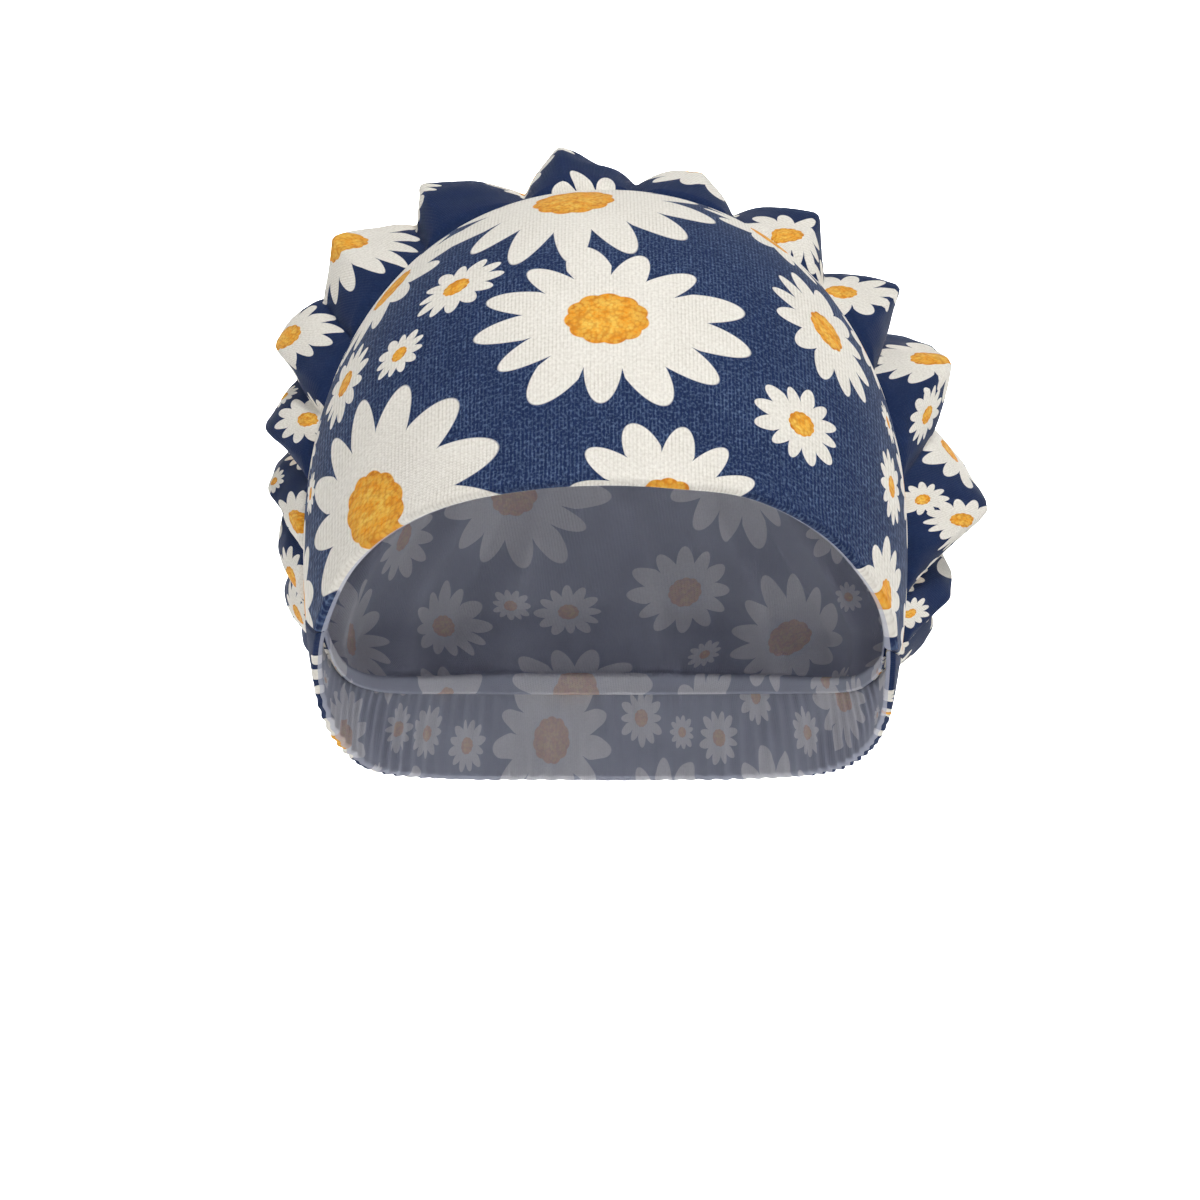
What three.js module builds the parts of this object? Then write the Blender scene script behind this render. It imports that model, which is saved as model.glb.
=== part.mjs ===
// Bouffant scrub cap of printed stretch jersey, in millimetres, as it sits on a head.
// +Z is up, the brow faces -Y, and the wearer's left ear is at +X.
// The origin is on the head's axis, at the level where the head opening closes at the sides.
// A wide front band runs from ear to ear, a gathered crown fills the back, and a narrow casing
// closes the nape. All three are cloth walls laid on one rounded form, the outside of the band.

import * as THREE from "three";

// The rounded form that the outside of the band follows.
const HEAD_HALF_WIDTH = 80;
const HEAD_HALF_DEPTH = 98;
const HEAD_RISE = 95;
const HEAD_DROP = 120;
const HEAD_CENTRE_Z = 24;
const HEAD_SQUARENESS = 2.15;

// Cloth walls, and the gap between two pieces that are sewn together.
const BAND_WALL = 2.4;
const CROWN_WALL = 1.5;
const NAPE_WALL = 2.6;
const SEAM_GAP = 0.35;

// The folded brow edge: how far back it reaches its full thickness, and how far it swells.
const BROW_ROLL = 1.6;
const BROW_SWELL = 0.5;

// The nape casing: its width, and how far its gathers stand out.
const NAPE_WIDTH = 30;
const NAPE_RIPPLE = 0.7;

// The crown: how far the bag's highest folds stand off the form, how far it stands off at the
// back, how far behind the seam the folds reach their full height, how far the cloth dips below
// the band at the seam, and how much the inner wall keeps to the form's own normal in the folds.
const BAG_DEPTH = 22;
const BACK_DEPTH = 17;
const FOLD_SETBACK = 27;
const SEAM_DIP = 0.5;
const FOLD_STRAIGHTNESS = 0.6;

// Where the bag's middle is, in degrees over the level, and where its folds start to fade.
const POLE_ELEVATION = 35;
const FADE_START = 0.3;

// Faces along and across each piece.
const BAND_COLUMNS = 60;
const BAND_ROWS = 10;
const NAPE_COLUMNS = 48;
const NAPE_ROWS = 3;
const CROWN_ROWS = 15;
const CROWN_ROW_GROWTH = 1.45;
const FOLD_STEPS = 6;
const NAPE_FOLD_STEPS = 4;
const BROAD_SIDE = 2 / 3;

// Form of a fold's section: how full its flat sides are, and how late its lean sets in.
const FOLD_FULLNESS = 0.8;
const LEAN_GROWTH = 1.4;

// Stations of the front band, from the wearer's right ear to the left one.
// place: share of the way across. turn: degrees round from the front to the brow edge.
// brow: height of the brow edge over the form's centre, as a share of HEAD_RISE.
// clock and tilt: where the rear seam is, in degrees, seen from the front: clock is counted
// from +X over the top, and tilt away from the front axis.
const BAND_STATIONS = [
  { place: 0.0, turn: -60, brow: -0.225, clock: 193, tilt: 78 },
  { place: 0.07, turn: -54, brow: -0.165, clock: 183, tilt: 75 },
  { place: 0.15, turn: -44.5, brow: -0.06, clock: 171, tilt: 73 },
  { place: 0.24, turn: -33, brow: 0.035, clock: 153, tilt: 73 },
  { place: 0.33, turn: -22, brow: 0.097, clock: 136, tilt: 75 },
  { place: 0.42, turn: -10, brow: 0.13, clock: 116, tilt: 77.5 },
  { place: 0.5, turn: 0, brow: 0.14, clock: 95, tilt: 78.5 },
  { place: 0.58, turn: 10, brow: 0.132, clock: 75, tilt: 78 },
  { place: 0.67, turn: 21, brow: 0.11, clock: 54, tilt: 77.5 },
  { place: 0.76, turn: 33.5, brow: 0.03, clock: 35, tilt: 77 },
  { place: 0.85, turn: 45, brow: -0.075, clock: 16, tilt: 77 },
  { place: 0.93, turn: 55.5, brow: -0.175, clock: -3, tilt: 77 },
  { place: 1.0, turn: 63, brow: -0.275, clock: -20, tilt: 78 },
];

// Stations of the nape casing between the two ends of the band, from behind the wearer's right
// ear round the back. turn: degrees from the front to its upper edge. top: height of that edge
// over the form's centre, as a share of HEAD_RISE. width: drop to the lower edge, as a share of
// NAPE_WIDTH. sweep: degrees by which the lower edge lies further round to the front.
const NAPE_STATIONS = [
  { place: 0.07, turn: -90, top: -0.25, width: 0.26, sweep: 20 },
  { place: 0.14, turn: -101, top: -0.32, width: 0.37, sweep: 21 },
  { place: 0.22, turn: -114, top: -0.37, width: 0.54, sweep: 20 },
  { place: 0.32, turn: -132, top: -0.4, width: 0.8, sweep: 14 },
  { place: 0.41, turn: -155, top: -0.4, width: 0.96, sweep: 5 },
  { place: 0.5, turn: -180, top: -0.4, width: 1, sweep: 0 },
  { place: 0.59, turn: -205, top: -0.4, width: 0.96, sweep: -5 },
  { place: 0.68, turn: -228, top: -0.4, width: 0.8, sweep: -14 },
  { place: 0.78, turn: -246, top: -0.39, width: 0.54, sweep: -20 },
  { place: 0.86, turn: -259, top: -0.36, width: 0.37, sweep: -21 },
  { place: 0.93, turn: -270, top: -0.33, width: 0.26, sweep: -20 },
];

// Folds of the crown along the band's seam, from the wearer's left ear over the top.
// ridge and end: clock of the fold's ridge and of the valley after it, in degrees. crest and
// trough: how far the two stand off the form, and lean: how far the ridge leans over sideways,
// as shares of BAG_DEPTH. reach: share of the way to the pole at which the fold has faded.
const SEAM_START = { end: -20, trough: 0.35 };
const SEAM_FOLDS = [
  { ridge: -12, end: -7, crest: 0.6, trough: 0.56, lean: -0.05, reach: 0.8 },
  { ridge: 8, end: 21.5, crest: 1.06, trough: 0.47, lean: -0.1, reach: 0.95 },
  { ridge: 29, end: 38.5, crest: 0.88, trough: 0.28, lean: -0.2, reach: 0.8 },
  { ridge: 45, end: 51.5, crest: 0.56, trough: 0.33, lean: -0.15, reach: 0.7 },
  { ridge: 59, end: 68, crest: 0.6, trough: 0.19, lean: -0.15, reach: 0.9 },
  { ridge: 78, end: 87, crest: 0.42, trough: 0.16, lean: -0.1, reach: 0.75 },
  { ridge: 97, end: 103.5, crest: 0.57, trough: 0.25, lean: 0.03, reach: 0.95 },
  { ridge: 115, end: 120.5, crest: 0.7, trough: 0.48, lean: 0.18, reach: 0.75 },
  { ridge: 129, end: 138, crest: 0.92, trough: 0.6, lean: 0.2, reach: 0.9 },
  { ridge: 145, end: 153, crest: 0.94, trough: 0.5, lean: 0.2, reach: 0.8 },
  { ridge: 158.5, end: 166.5, crest: 0.68, trough: 0.42, lean: 0.18, reach: 0.95 },
  { ridge: 173, end: 179, crest: 0.55, trough: 0.42, lean: 0.12, reach: 0.75 },
  { ridge: 187, end: 193, crest: 0.35, trough: 0.15, lean: 0.05, reach: 0.85 },
];

// Gathers of the crown along the nape casing, in the same columns. They go on from the last
// fold above, and ridge and end are shares of the way along the casing.
const NAPE_START = { end: 0, trough: 0.15 };
const NAPE_FOLDS = [
  { ridge: 0.06, end: 0.12, crest: 0.5, trough: 0.3, lean: 0.05, reach: 0.7 },
  { ridge: 0.17, end: 0.22, crest: 0.8, trough: 0.5, lean: 0.08, reach: 0.6 },
  { ridge: 0.28, end: 0.34, crest: 0.85, trough: 0.6, lean: 0.08, reach: 0.75 },
  { ridge: 0.385, end: 0.43, crest: 1.0, trough: 0.6, lean: 0.05, reach: 0.65 },
  { ridge: 0.485, end: 0.54, crest: 0.9, trough: 0.65, lean: 0, reach: 0.8 },
  { ridge: 0.59, end: 0.63, crest: 1.0, trough: 0.6, lean: -0.05, reach: 0.6 },
  { ridge: 0.69, end: 0.745, crest: 0.85, trough: 0.6, lean: -0.08, reach: 0.75 },
  { ridge: 0.8, end: 0.86, crest: 0.9, trough: 0.5, lean: -0.08, reach: 0.65 },
  { ridge: 0.93, end: 1, crest: 0.65, trough: 0.35, lean: -0.05, reach: 0.75 },
];

const CENTRE = new THREE.Vector3(0, 0, HEAD_CENTRE_Z);
const POLE = new THREE.Vector3(
  0,
  Math.cos(THREE.MathUtils.degToRad(POLE_ELEVATION)),
  Math.sin(THREE.MathUtils.degToRad(POLE_ELEVATION)),
);

// Value of one column of a table at a place, on a smooth curve through its rows.
function column(table, key, name, at) {
  let row = table.findIndex((entry) => entry[key] > at) - 1;
  if (row < 0) row = at < table[0][key] ? 0 : table.length - 2;
  const slope = (index) => {
    const before = table[Math.max(index - 1, 0)];
    const after = table[Math.min(index + 1, table.length - 1)];
    return (after[name] - before[name]) / (after[key] - before[key]);
  };
  const [from, to] = [table[row], table[row + 1]];
  const span = to[key] - from[key];
  const t = THREE.MathUtils.clamp((at - from[key]) / span, 0, 1);
  const [t2, t3] = [t * t, t * t * t];
  return (
    (2 * t3 - 3 * t2 + 1) * from[name] +
    (t3 - 2 * t2 + t) * span * slope(row) +
    (3 * t2 - 2 * t3) * to[name] +
    (t3 - t2) * span * slope(row + 1)
  );
}

// Distance from the form's centre to its surface along a unit direction.
function formRadius(direction) {
  const height = direction.z > 0 ? HEAD_RISE : HEAD_DROP;
  const total =
    Math.abs(direction.x / HEAD_HALF_WIDTH) ** HEAD_SQUARENESS +
    Math.abs(direction.y / HEAD_HALF_DEPTH) ** HEAD_SQUARENESS +
    Math.abs(direction.z / height) ** HEAD_SQUARENESS;
  return total ** (-1 / HEAD_SQUARENESS);
}

// Direction of the form's surface point at a turn from the front and a height over the centre.
function directionAtHeight(turn, height) {
  const angle = THREE.MathUtils.degToRad(turn);
  const tall = height > 0 ? HEAD_RISE : HEAD_DROP;
  const left = 1 - Math.abs(height / tall) ** HEAD_SQUARENESS;
  const level =
    Math.abs(Math.sin(angle) / HEAD_HALF_WIDTH) ** HEAD_SQUARENESS +
    Math.abs(Math.cos(angle) / HEAD_HALF_DEPTH) ** HEAD_SQUARENESS;
  const reach = (left / level) ** (1 / HEAD_SQUARENESS);
  return new THREE.Vector3(reach * Math.sin(angle), -reach * Math.cos(angle), height).normalize();
}

// Direction given by its clock and its tilt away from the front axis.
function directionAtClock(clock, tilt) {
  const round = THREE.MathUtils.degToRad(clock);
  const away = THREE.MathUtils.degToRad(tilt);
  return new THREE.Vector3(
    Math.sin(away) * Math.cos(round),
    -Math.cos(away),
    Math.sin(away) * Math.sin(round),
  );
}

// Direction part of the way along the great circle between two directions.
function between(from, to, share) {
  const angle = from.angleTo(to);
  const start = from.clone().multiplyScalar(Math.sin((1 - share) * angle));
  return start.addScaledVector(to, Math.sin(share * angle)).divideScalar(Math.sin(angle));
}

// Point over the form in a direction, standing off its surface by some millimetres.
function pointOver(direction, standoff) {
  return CENTRE.clone().addScaledVector(direction, formRadius(direction) + standoff);
}

// Outward normal of the form under a point.
function formNormal(point) {
  const { x, y, z } = point.clone().sub(CENTRE);
  const height = z > 0 ? HEAD_RISE : HEAD_DROP;
  const steepness = (value, half) =>
    (Math.sign(value) * Math.abs(value / half) ** (HEAD_SQUARENESS - 1)) / half;
  const across = steepness(x, HEAD_HALF_WIDTH);
  return new THREE.Vector3(across, steepness(y, HEAD_HALF_DEPTH), steepness(z, height)).normalize();
}

// Second wall of a sheet that lies smoothly on the form.
function smoothInner(outer, wall) {
  return outer.map((line) =>
    line.map((point) => point.clone().addScaledVector(formNormal(point), -wall)),
  );
}

// Second wall of a sheet with folds. At its edge it goes straight in, as a smooth sheet's does.
function foldedInner(outer, wall) {
  const count = outer.length;
  return outer.map((line, i) =>
    line.map((point, j) => {
      const inward = formNormal(point);
      const along = outer[(i + 1) % count][j].clone().sub(outer[(i + count - 1) % count][j]);
      const before = line[Math.max(j - 1, 0)];
      const back = line[Math.min(j + 1, line.length - 1)].clone().sub(before);
      const normal = along.cross(back).normalize();
      if (normal.dot(inward) < 0) normal.negate();
      if (j > 0) inward.multiplyScalar(FOLD_STRAIGHTNESS).add(normal).normalize();
      return point.clone().addScaledVector(inward, -wall);
    }),
  );
}

// Closed solid between two walls, each a list of lines of points that run from the first edge
// to the second. A folded first edge has no thickness, and a gathered last edge is one point.
function clothSolid(outer, inner, { closedRound = false, folded = false, gathered = false }) {
  const lines = outer.length;
  const rows = outer[0].length;
  const points = [];
  const place = (point) => points.push(point.x, point.y, point.z) / 3 - 1;
  const number = (wall, twin) => {
    let tip = -1;
    return wall.map((line, i) =>
      line.map((point, j) => {
        if (twin && folded && j === 0) return twin[i][0];
        if (gathered && j === rows - 1) return tip < 0 ? (tip = place(point)) : tip;
        return place(point);
      }),
    );
  };
  const out = number(outer, null);
  const inn = number(inner, out);
  const faces = [];
  const triangle = (a, b, c) => {
    if (a !== b && b !== c && a !== c) faces.push(a, b, c);
  };
  const quad = (a, b, c, d) => {
    triangle(a, b, c);
    triangle(a, c, d);
  };
  for (let i = 0; i < (closedRound ? lines : lines - 1); i += 1) {
    const next = (i + 1) % lines;
    for (let j = 0; j < rows - 1; j += 1) {
      quad(out[i][j], out[next][j], out[next][j + 1], out[i][j + 1]);
      quad(inn[i][j + 1], inn[next][j + 1], inn[next][j], inn[i][j]);
    }
    if (!folded) quad(inn[i][0], inn[next][0], out[next][0], out[i][0]);
    if (!gathered) quad(out[i][rows - 1], out[next][rows - 1], inn[next][rows - 1], inn[i][rows - 1]);
  }
  if (!closedRound) {
    for (let j = 0; j < rows - 1; j += 1) {
      quad(out[0][j], out[0][j + 1], inn[0][j + 1], inn[0][j]);
      quad(inn[lines - 1][j], inn[lines - 1][j + 1], out[lines - 1][j + 1], out[lines - 1][j]);
    }
  }
  const geometry = new THREE.BufferGeometry();
  geometry.setAttribute("position", new THREE.Float32BufferAttribute(points, 3));
  geometry.setIndex(faces);
  geometry.computeVertexNormals();
  return geometry;
}

// Named piece of cloth with its own colour.
function piece(name, geometry, color, roughness) {
  const material = new THREE.MeshStandardMaterial({ color, roughness, metalness: 0 });
  const mesh = new THREE.Mesh(geometry, material);
  mesh.name = name;
  return mesh;
}

// Direction of the band's rear seam, at a share of the way across the band.
function seamDirection(place) {
  const clock = column(BAND_STATIONS, "place", "clock", place);
  const tilt = column(BAND_STATIONS, "place", "tilt", place);
  return directionAtClock(clock, tilt);
}

// Direction of the brow edge, at a share of the way across the band.
function browDirection(place) {
  const turn = column(BAND_STATIONS, "place", "turn", place);
  return directionAtHeight(turn, column(BAND_STATIONS, "place", "brow", place) * HEAD_RISE);
}

// Row of the casing's table at one end of the band, where both edges meet the band's.
function napeEnd(place, bandPlace, fullTurns) {
  const top = pointOver(seamDirection(bandPlace), 0).sub(CENTRE);
  const low = pointOver(browDirection(bandPlace), 0).sub(CENTRE);
  const turn = THREE.MathUtils.radToDeg(Math.atan2(top.x, -top.y)) - fullTurns * 360;
  const lowTurn = THREE.MathUtils.radToDeg(Math.atan2(low.x, -low.y)) - fullTurns * 360;
  const width = (top.z - low.z) / NAPE_WIDTH;
  return { place, turn, top: top.z / HEAD_RISE, width, sweep: lowTurn - turn };
}
const NAPE_LINE = [napeEnd(0, 0, 0), ...NAPE_STATIONS, napeEnd(1, 1, 1)];

// Direction of the casing's upper edge, or of its lower one, at a share of the way round.
function napeDirection(place, lower) {
  const turn = column(NAPE_LINE, "place", "turn", place);
  const top = column(NAPE_LINE, "place", "top", place) * HEAD_RISE;
  if (!lower) return directionAtHeight(turn, top);
  const width = column(NAPE_LINE, "place", "width", place) * NAPE_WIDTH;
  return directionAtHeight(turn + column(NAPE_LINE, "place", "sweep", place), top - width);
}

// Front band: a double wall between the brow edge and the rear seam.
function frontBand() {
  const outer = [];
  for (let i = 0; i <= BAND_COLUMNS; i += 1) {
    const from = browDirection(i / BAND_COLUMNS);
    const to = seamDirection(i / BAND_COLUMNS);
    const fold = BROW_ROLL / (from.angleTo(to) * formRadius(from));
    const line = [pointOver(from, -BAND_WALL / 2)];
    for (let j = 0; j < BAND_ROWS; j += 1) {
      const share = fold + (1 - fold) * (j / (BAND_ROWS - 1));
      line.push(pointOver(between(from, to, share), j === 0 ? BROW_SWELL : 0));
    }
    outer.push(line);
  }
  return clothSolid(outer, smoothInner(outer, BAND_WALL), { folded: true });
}

// Nape casing: a narrow folded wall, drawn in by small gathers, between the band's two ends.
function napeBand() {
  const outer = [];
  const round = HEAD_HALF_WIDTH + 2 * HEAD_HALF_DEPTH;
  for (let i = 0; i <= NAPE_COLUMNS; i += 1) {
    const share = i / NAPE_COLUMNS;
    const place = SEAM_GAP / round + (1 - (2 * SEAM_GAP) / round) * share;
    const from = napeDirection(place, true);
    const to = napeDirection(place, false);
    const fold = BROW_ROLL / (from.angleTo(to) * formRadius(from));
    const ripple = i % 2 === 0 ? 0 : -NAPE_RIPPLE;
    const line = [pointOver(from, ripple - NAPE_WALL / 2)];
    for (let j = 0; j < NAPE_ROWS; j += 1) {
      line.push(pointOver(between(from, to, fold + (1 - fold) * (j / (NAPE_ROWS - 1))), ripple));
    }
    outer.push(line);
  }
  outer.reverse();
  return clothSolid(outer, smoothInner(outer, NAPE_WALL), { folded: true });
}

// Share of the way across the band at which its rear seam has a given clock.
function placeAtClock(clock) {
  let [low, high] = [0, 1];
  for (let halving = 0; halving < 40; halving += 1) {
    const middle = (low + high) / 2;
    if (column(BAND_STATIONS, "place", "clock", middle) > clock) low = middle;
    else high = middle;
  }
  return (low + high) / 2;
}

// Start of a line of the crown on the band's seam, and the direction by which it passes half
// way. Over the head the line first runs straight back, and behind the ears towards the pole.
function seamEdge(clock) {
  const place = placeAtClock(clock);
  const from = seamDirection(place);
  const angle = THREE.MathUtils.radToDeg(from.angleTo(POLE));
  const tilt = column(BAND_STATIONS, "place", "tilt", place);
  const straight = directionAtClock(clock, tilt + angle / 2);
  const straightness = Math.sin(Math.PI * place) ** 0.5;
  return { from, half: between(from, POLE, 0.5).lerp(straight, straightness).normalize() };
}

// Start and half-way direction of a line of the crown on the casing's upper edge.
function napeEdge(place) {
  const from = napeDirection(place, false);
  return { from, half: between(from, POLE, 0.5) };
}

// Columns of the crown across a row of folds: where each starts on the crown's edge, how far it
// stands off and leans, and how far it reaches. A fold's broader side has more of them.
function foldColumns(start, folds, steps, edge) {
  const columns = [];
  let before = start;
  for (const fold of folds) {
    const broadFirst = Math.abs(fold.ridge - before.end) > Math.abs(fold.end - fold.ridge);
    const rising = Math.round(steps * (broadFirst ? BROAD_SIDE : 1 - BROAD_SIDE));
    for (let step = 0; step < steps; step += 1) {
      const up = step <= rising;
      const share = up ? step / rising : (step - rising) / (steps - rising);
      const [from, to] = up ? [before.end, fold.ridge] : [fold.ridge, fold.end];
      const height = (up ? share : 1 - share) ** FOLD_FULLNESS;
      const valley = up ? before.trough : fold.trough;
      columns.push({
        ...edge(THREE.MathUtils.lerp(from, to, share)),
        standoff: BAG_DEPTH * THREE.MathUtils.lerp(valley, fold.crest, height),
        lean: BAG_DEPTH * fold.lean * height ** LEAN_GROWTH,
        reach: fold.reach,
      });
    }
    before = fold;
  }
  return columns;
}

// Smooth step from 0 to 1, and a rise from 0 to 1 that starts steeply and levels out.
const ease = (share) => THREE.MathUtils.smoothstep(share, 0, 1);
const levelOut = (share) => Math.sin((Math.PI / 2) * THREE.MathUtils.clamp(share, 0, 1));

// Crown: a gathered bag in one wall that stands off the form, with folds that run back from its
// edge and fade towards its middle at the back of the head.
function crown() {
  const columns = [
    ...foldColumns(SEAM_START, SEAM_FOLDS, FOLD_STEPS, seamEdge),
    ...foldColumns(NAPE_START, NAPE_FOLDS, NAPE_FOLD_STEPS, napeEdge),
  ];
  const outer = columns.map(({ from, half, standoff, lean, reach }) => {
    const length = from.angleTo(POLE) * formRadius(from);
    const gap = SEAM_GAP / length;
    const line = [];
    for (let j = 0; j <= CROWN_ROWS; j += 1) {
      const share = gap + (1 - gap) * (j / CROWN_ROWS) ** CROWN_ROW_GROWTH;
      const direction = between(between(from, half, share), between(half, POLE, share), share);
      const full = levelOut((share * length) / FOLD_SETBACK);
      const faded = ease((share - FADE_START) / (reach - FADE_START));
      const off = THREE.MathUtils.lerp(standoff, BACK_DEPTH, faded) * full;
      const side = j < CROWN_ROWS ? direction.clone().cross(POLE).normalize() : POLE;
      const point = pointOver(direction, off - SEAM_DIP * (1 - full));
      line.push(point.addScaledVector(side, lean * full * (1 - faded)));
    }
    return line;
  });
  outer.reverse();
  const inner = foldedInner(outer, CROWN_WALL);
  return clothSolid(outer, inner, { closedRound: true, gathered: true });
}

const group = new THREE.Group();
group.add(piece("front_band", frontBand(), 0x2d3c69, 0.85));
group.add(piece("crown", crown(), 0x3b4a78, 0.88));
group.add(piece("nape_band", napeBand(), 0x33426f, 0.85));

export default group;
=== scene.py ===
# %% [markdown]
# # Bouffant scrub cap of printed stretch jersey
# A scrub cap keeps a surgeon's or nurse's hair in. This one is sewn from three pieces of one
# printed jersey: a wide double front panel, a full crown that is gathered into its rear edge,
# and a narrow elastic casing round the nape. The lesson lays every piece on one rounded form,
# by the same rules and tables as the CAD solids, and finishes the cloth with procedural nodes.

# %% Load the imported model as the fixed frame
import math

import bpy
import numpy as np

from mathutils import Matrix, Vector


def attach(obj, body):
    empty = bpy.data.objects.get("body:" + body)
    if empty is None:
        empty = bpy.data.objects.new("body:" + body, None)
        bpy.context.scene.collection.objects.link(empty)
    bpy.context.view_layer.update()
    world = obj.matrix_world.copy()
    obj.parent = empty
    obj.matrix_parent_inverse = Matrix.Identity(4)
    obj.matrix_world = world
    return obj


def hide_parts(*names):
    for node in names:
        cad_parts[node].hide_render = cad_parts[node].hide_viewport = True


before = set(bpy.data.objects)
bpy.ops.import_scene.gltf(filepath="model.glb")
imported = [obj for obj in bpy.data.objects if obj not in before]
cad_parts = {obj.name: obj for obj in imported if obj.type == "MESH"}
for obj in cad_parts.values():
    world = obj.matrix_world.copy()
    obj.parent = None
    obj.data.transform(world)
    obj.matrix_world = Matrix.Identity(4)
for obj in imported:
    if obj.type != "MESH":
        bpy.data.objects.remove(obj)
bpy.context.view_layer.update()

# %% [markdown]
# ## Camera
# The cap is seen from the front at about brow height, from 700 mm, with a longish lens. The
# lens and place were worked out from the photograph's own perspective. The camera looks level
# along +Y, so that upright lines stay upright.

# %% Camera
MM = 0.001
CAMERA_PLACE = (-1.34 * MM, -700 * MM, 10.7 * MM)
CAMERA_LENS = 78.36

lens = bpy.data.cameras.new("camera")
lens.lens = CAMERA_LENS
camera = bpy.data.objects.new("camera", lens)
camera.location = CAMERA_PLACE
camera.rotation_euler = (math.pi / 2, 0, 0)
bpy.context.scene.collection.objects.link(camera)
bpy.context.scene.camera = camera
print("camera", tuple(camera.location), "lens", lens.lens)

# %% [markdown]
# ## The form under the cloth
# All three pieces are laid on one rounded form, a superellipsoid of the size of an adult head.
# Its half sizes are the cap's driving dimensions. A sculpted head would also carry the cloth,
# but a formula gives each point, normal and distance exactly, at any fineness.

# %% The rounded form
HALF_WIDTH = 80 * MM
HALF_DEPTH = 98 * MM
RISE = 95 * MM
DROP = 120 * MM
SQUARENESS = 2.15
CENTRE = np.array([0, 0, 24 * MM])


def unit(vectors):
    """The vectors at length 1."""
    return vectors / np.linalg.norm(vectors, axis=-1, keepdims=True)


def half_sizes(height):
    """The form's half sizes at heights over its centre, since it drops further than it rises."""
    return np.stack(np.broadcast_arrays(HALF_WIDTH, HALF_DEPTH, np.where(height > 0, RISE, DROP)), -1)


def form_radius(direction):
    """Distance from the form's centre to its surface along unit directions."""
    return (np.abs(direction / half_sizes(direction[..., 2])) ** SQUARENESS).sum(-1) ** (-1 / SQUARENESS)


def form_normal(points):
    """Outward normals of the form under points."""
    offset = points - CENTRE
    halves = half_sizes(offset[..., 2])
    return unit(np.sign(offset) * np.abs(offset / halves) ** (SQUARENESS - 1) / halves)


def point_over(direction, standoff):
    """Points over the form in directions, standing off its surface."""
    return CENTRE + direction * (form_radius(direction) + standoff)[..., None]


def direction_at_height(turn, height):
    """Directions of the form's surface at a turn from the front and a height over its centre."""
    angle = np.radians(turn)
    left = 1 - np.abs(height / np.where(height > 0, RISE, DROP)) ** SQUARENESS
    level = np.abs(np.sin(angle) / HALF_WIDTH) ** SQUARENESS
    level = level + np.abs(np.cos(angle) / HALF_DEPTH) ** SQUARENESS
    reach = (left / level) ** (1 / SQUARENESS)
    return unit(np.stack([reach * np.sin(angle), -reach * np.cos(angle), height], -1))


def direction_at_clock(clock, tilt):
    """Directions by clock, seen from the front and counted from +X, and tilt from the front axis."""
    round_, away = np.radians(clock), np.radians(tilt)
    return np.stack([np.sin(away) * np.cos(round_), -np.cos(away), np.sin(away) * np.sin(round_)], -1)


def between(start, end, share):
    """Directions part of the way along the great circles between two."""
    angle = np.arccos(np.clip((start * end).sum(-1, keepdims=True), -1, 1))
    angle = np.maximum(angle, 1e-9)
    share = np.asarray(share)[..., None]
    return (start * np.sin((1 - share) * angle) + end * np.sin(share * angle)) / np.sin(angle)


print("form", round(2 * HALF_WIDTH, 3), "m wide and", round(2 * HALF_DEPTH, 3), "m deep")

# %% [markdown]
# ## Stations and folds
# The band's two edges, the casing and every fold of the crown are set by short tables. The
# stations are the CAD solids' own. A smooth curve runs through the rows of a table. Heights and
# widths are shares of the form's own sizes, and folds are shares of the depth of the bag.

# %% Tables of stations
NAPE_WIDTH = 30 * MM


def table(names, rows):
    """A table as one array for each named column."""
    return dict(zip(names.split(), np.array(rows, float).T))


# place: share of the way across. turn and brow: the brow edge. clock and tilt: the rear seam.
BAND_STATIONS = table("place turn brow clock tilt", [
    (0.00, -60.0, -0.225, 193, 78.0),
    (0.07, -54.0, -0.165, 183, 75.0),
    (0.15, -44.5, -0.060, 171, 73.0),
    (0.24, -33.0, 0.035, 153, 73.0),
    (0.33, -22.0, 0.097, 136, 75.0),
    (0.42, -10.0, 0.130, 116, 77.5),
    (0.50, 0.0, 0.140, 95, 78.5),
    (0.58, 10.0, 0.132, 75, 78.0),
    (0.67, 21.0, 0.110, 54, 77.5),
    (0.76, 33.5, 0.030, 35, 77.0),
    (0.85, 45.0, -0.075, 16, 77.0),
    (0.93, 55.5, -0.175, -3, 77.0),
    (1.00, 63.0, -0.275, -20, 78.0),
])

# turn and top: the casing's upper edge. width and sweep: how its lower edge lies from that.
NAPE_STATIONS = [
    (0.07, -90, -0.25, 0.26, 20),
    (0.14, -101, -0.32, 0.37, 21),
    (0.22, -114, -0.37, 0.54, 20),
    (0.32, -132, -0.40, 0.80, 14),
    (0.41, -155, -0.40, 0.96, 5),
    (0.50, -180, -0.40, 1.00, 0),
    (0.59, -205, -0.40, 0.96, -5),
    (0.68, -228, -0.40, 0.80, -14),
    (0.78, -246, -0.39, 0.54, -20),
    (0.86, -259, -0.36, 0.37, -21),
    (0.93, -270, -0.33, 0.26, -20),
]


def column(rows, key, name, at):
    """Values of one column of a table at given keys, on a smooth curve through its rows."""
    keys, values = rows[key], rows[name]
    last = len(keys) - 1
    before, after = np.maximum(np.arange(last + 1) - 1, 0), np.minimum(np.arange(last + 1) + 1, last)
    slopes = (values[after] - values[before]) / (keys[after] - keys[before])
    row = np.clip(np.searchsorted(keys, at, side="right") - 1, 0, last - 1)
    span = keys[row + 1] - keys[row]
    t = np.clip((at - keys[row]) / span, 0, 1)
    start = (2 * t**3 - 3 * t**2 + 1) * values[row] + (t**3 - 2 * t**2 + t) * span * slopes[row]
    return start + (3 * t**2 - 2 * t**3) * values[row + 1] + (t**3 - t**2) * span * slopes[row + 1]


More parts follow.
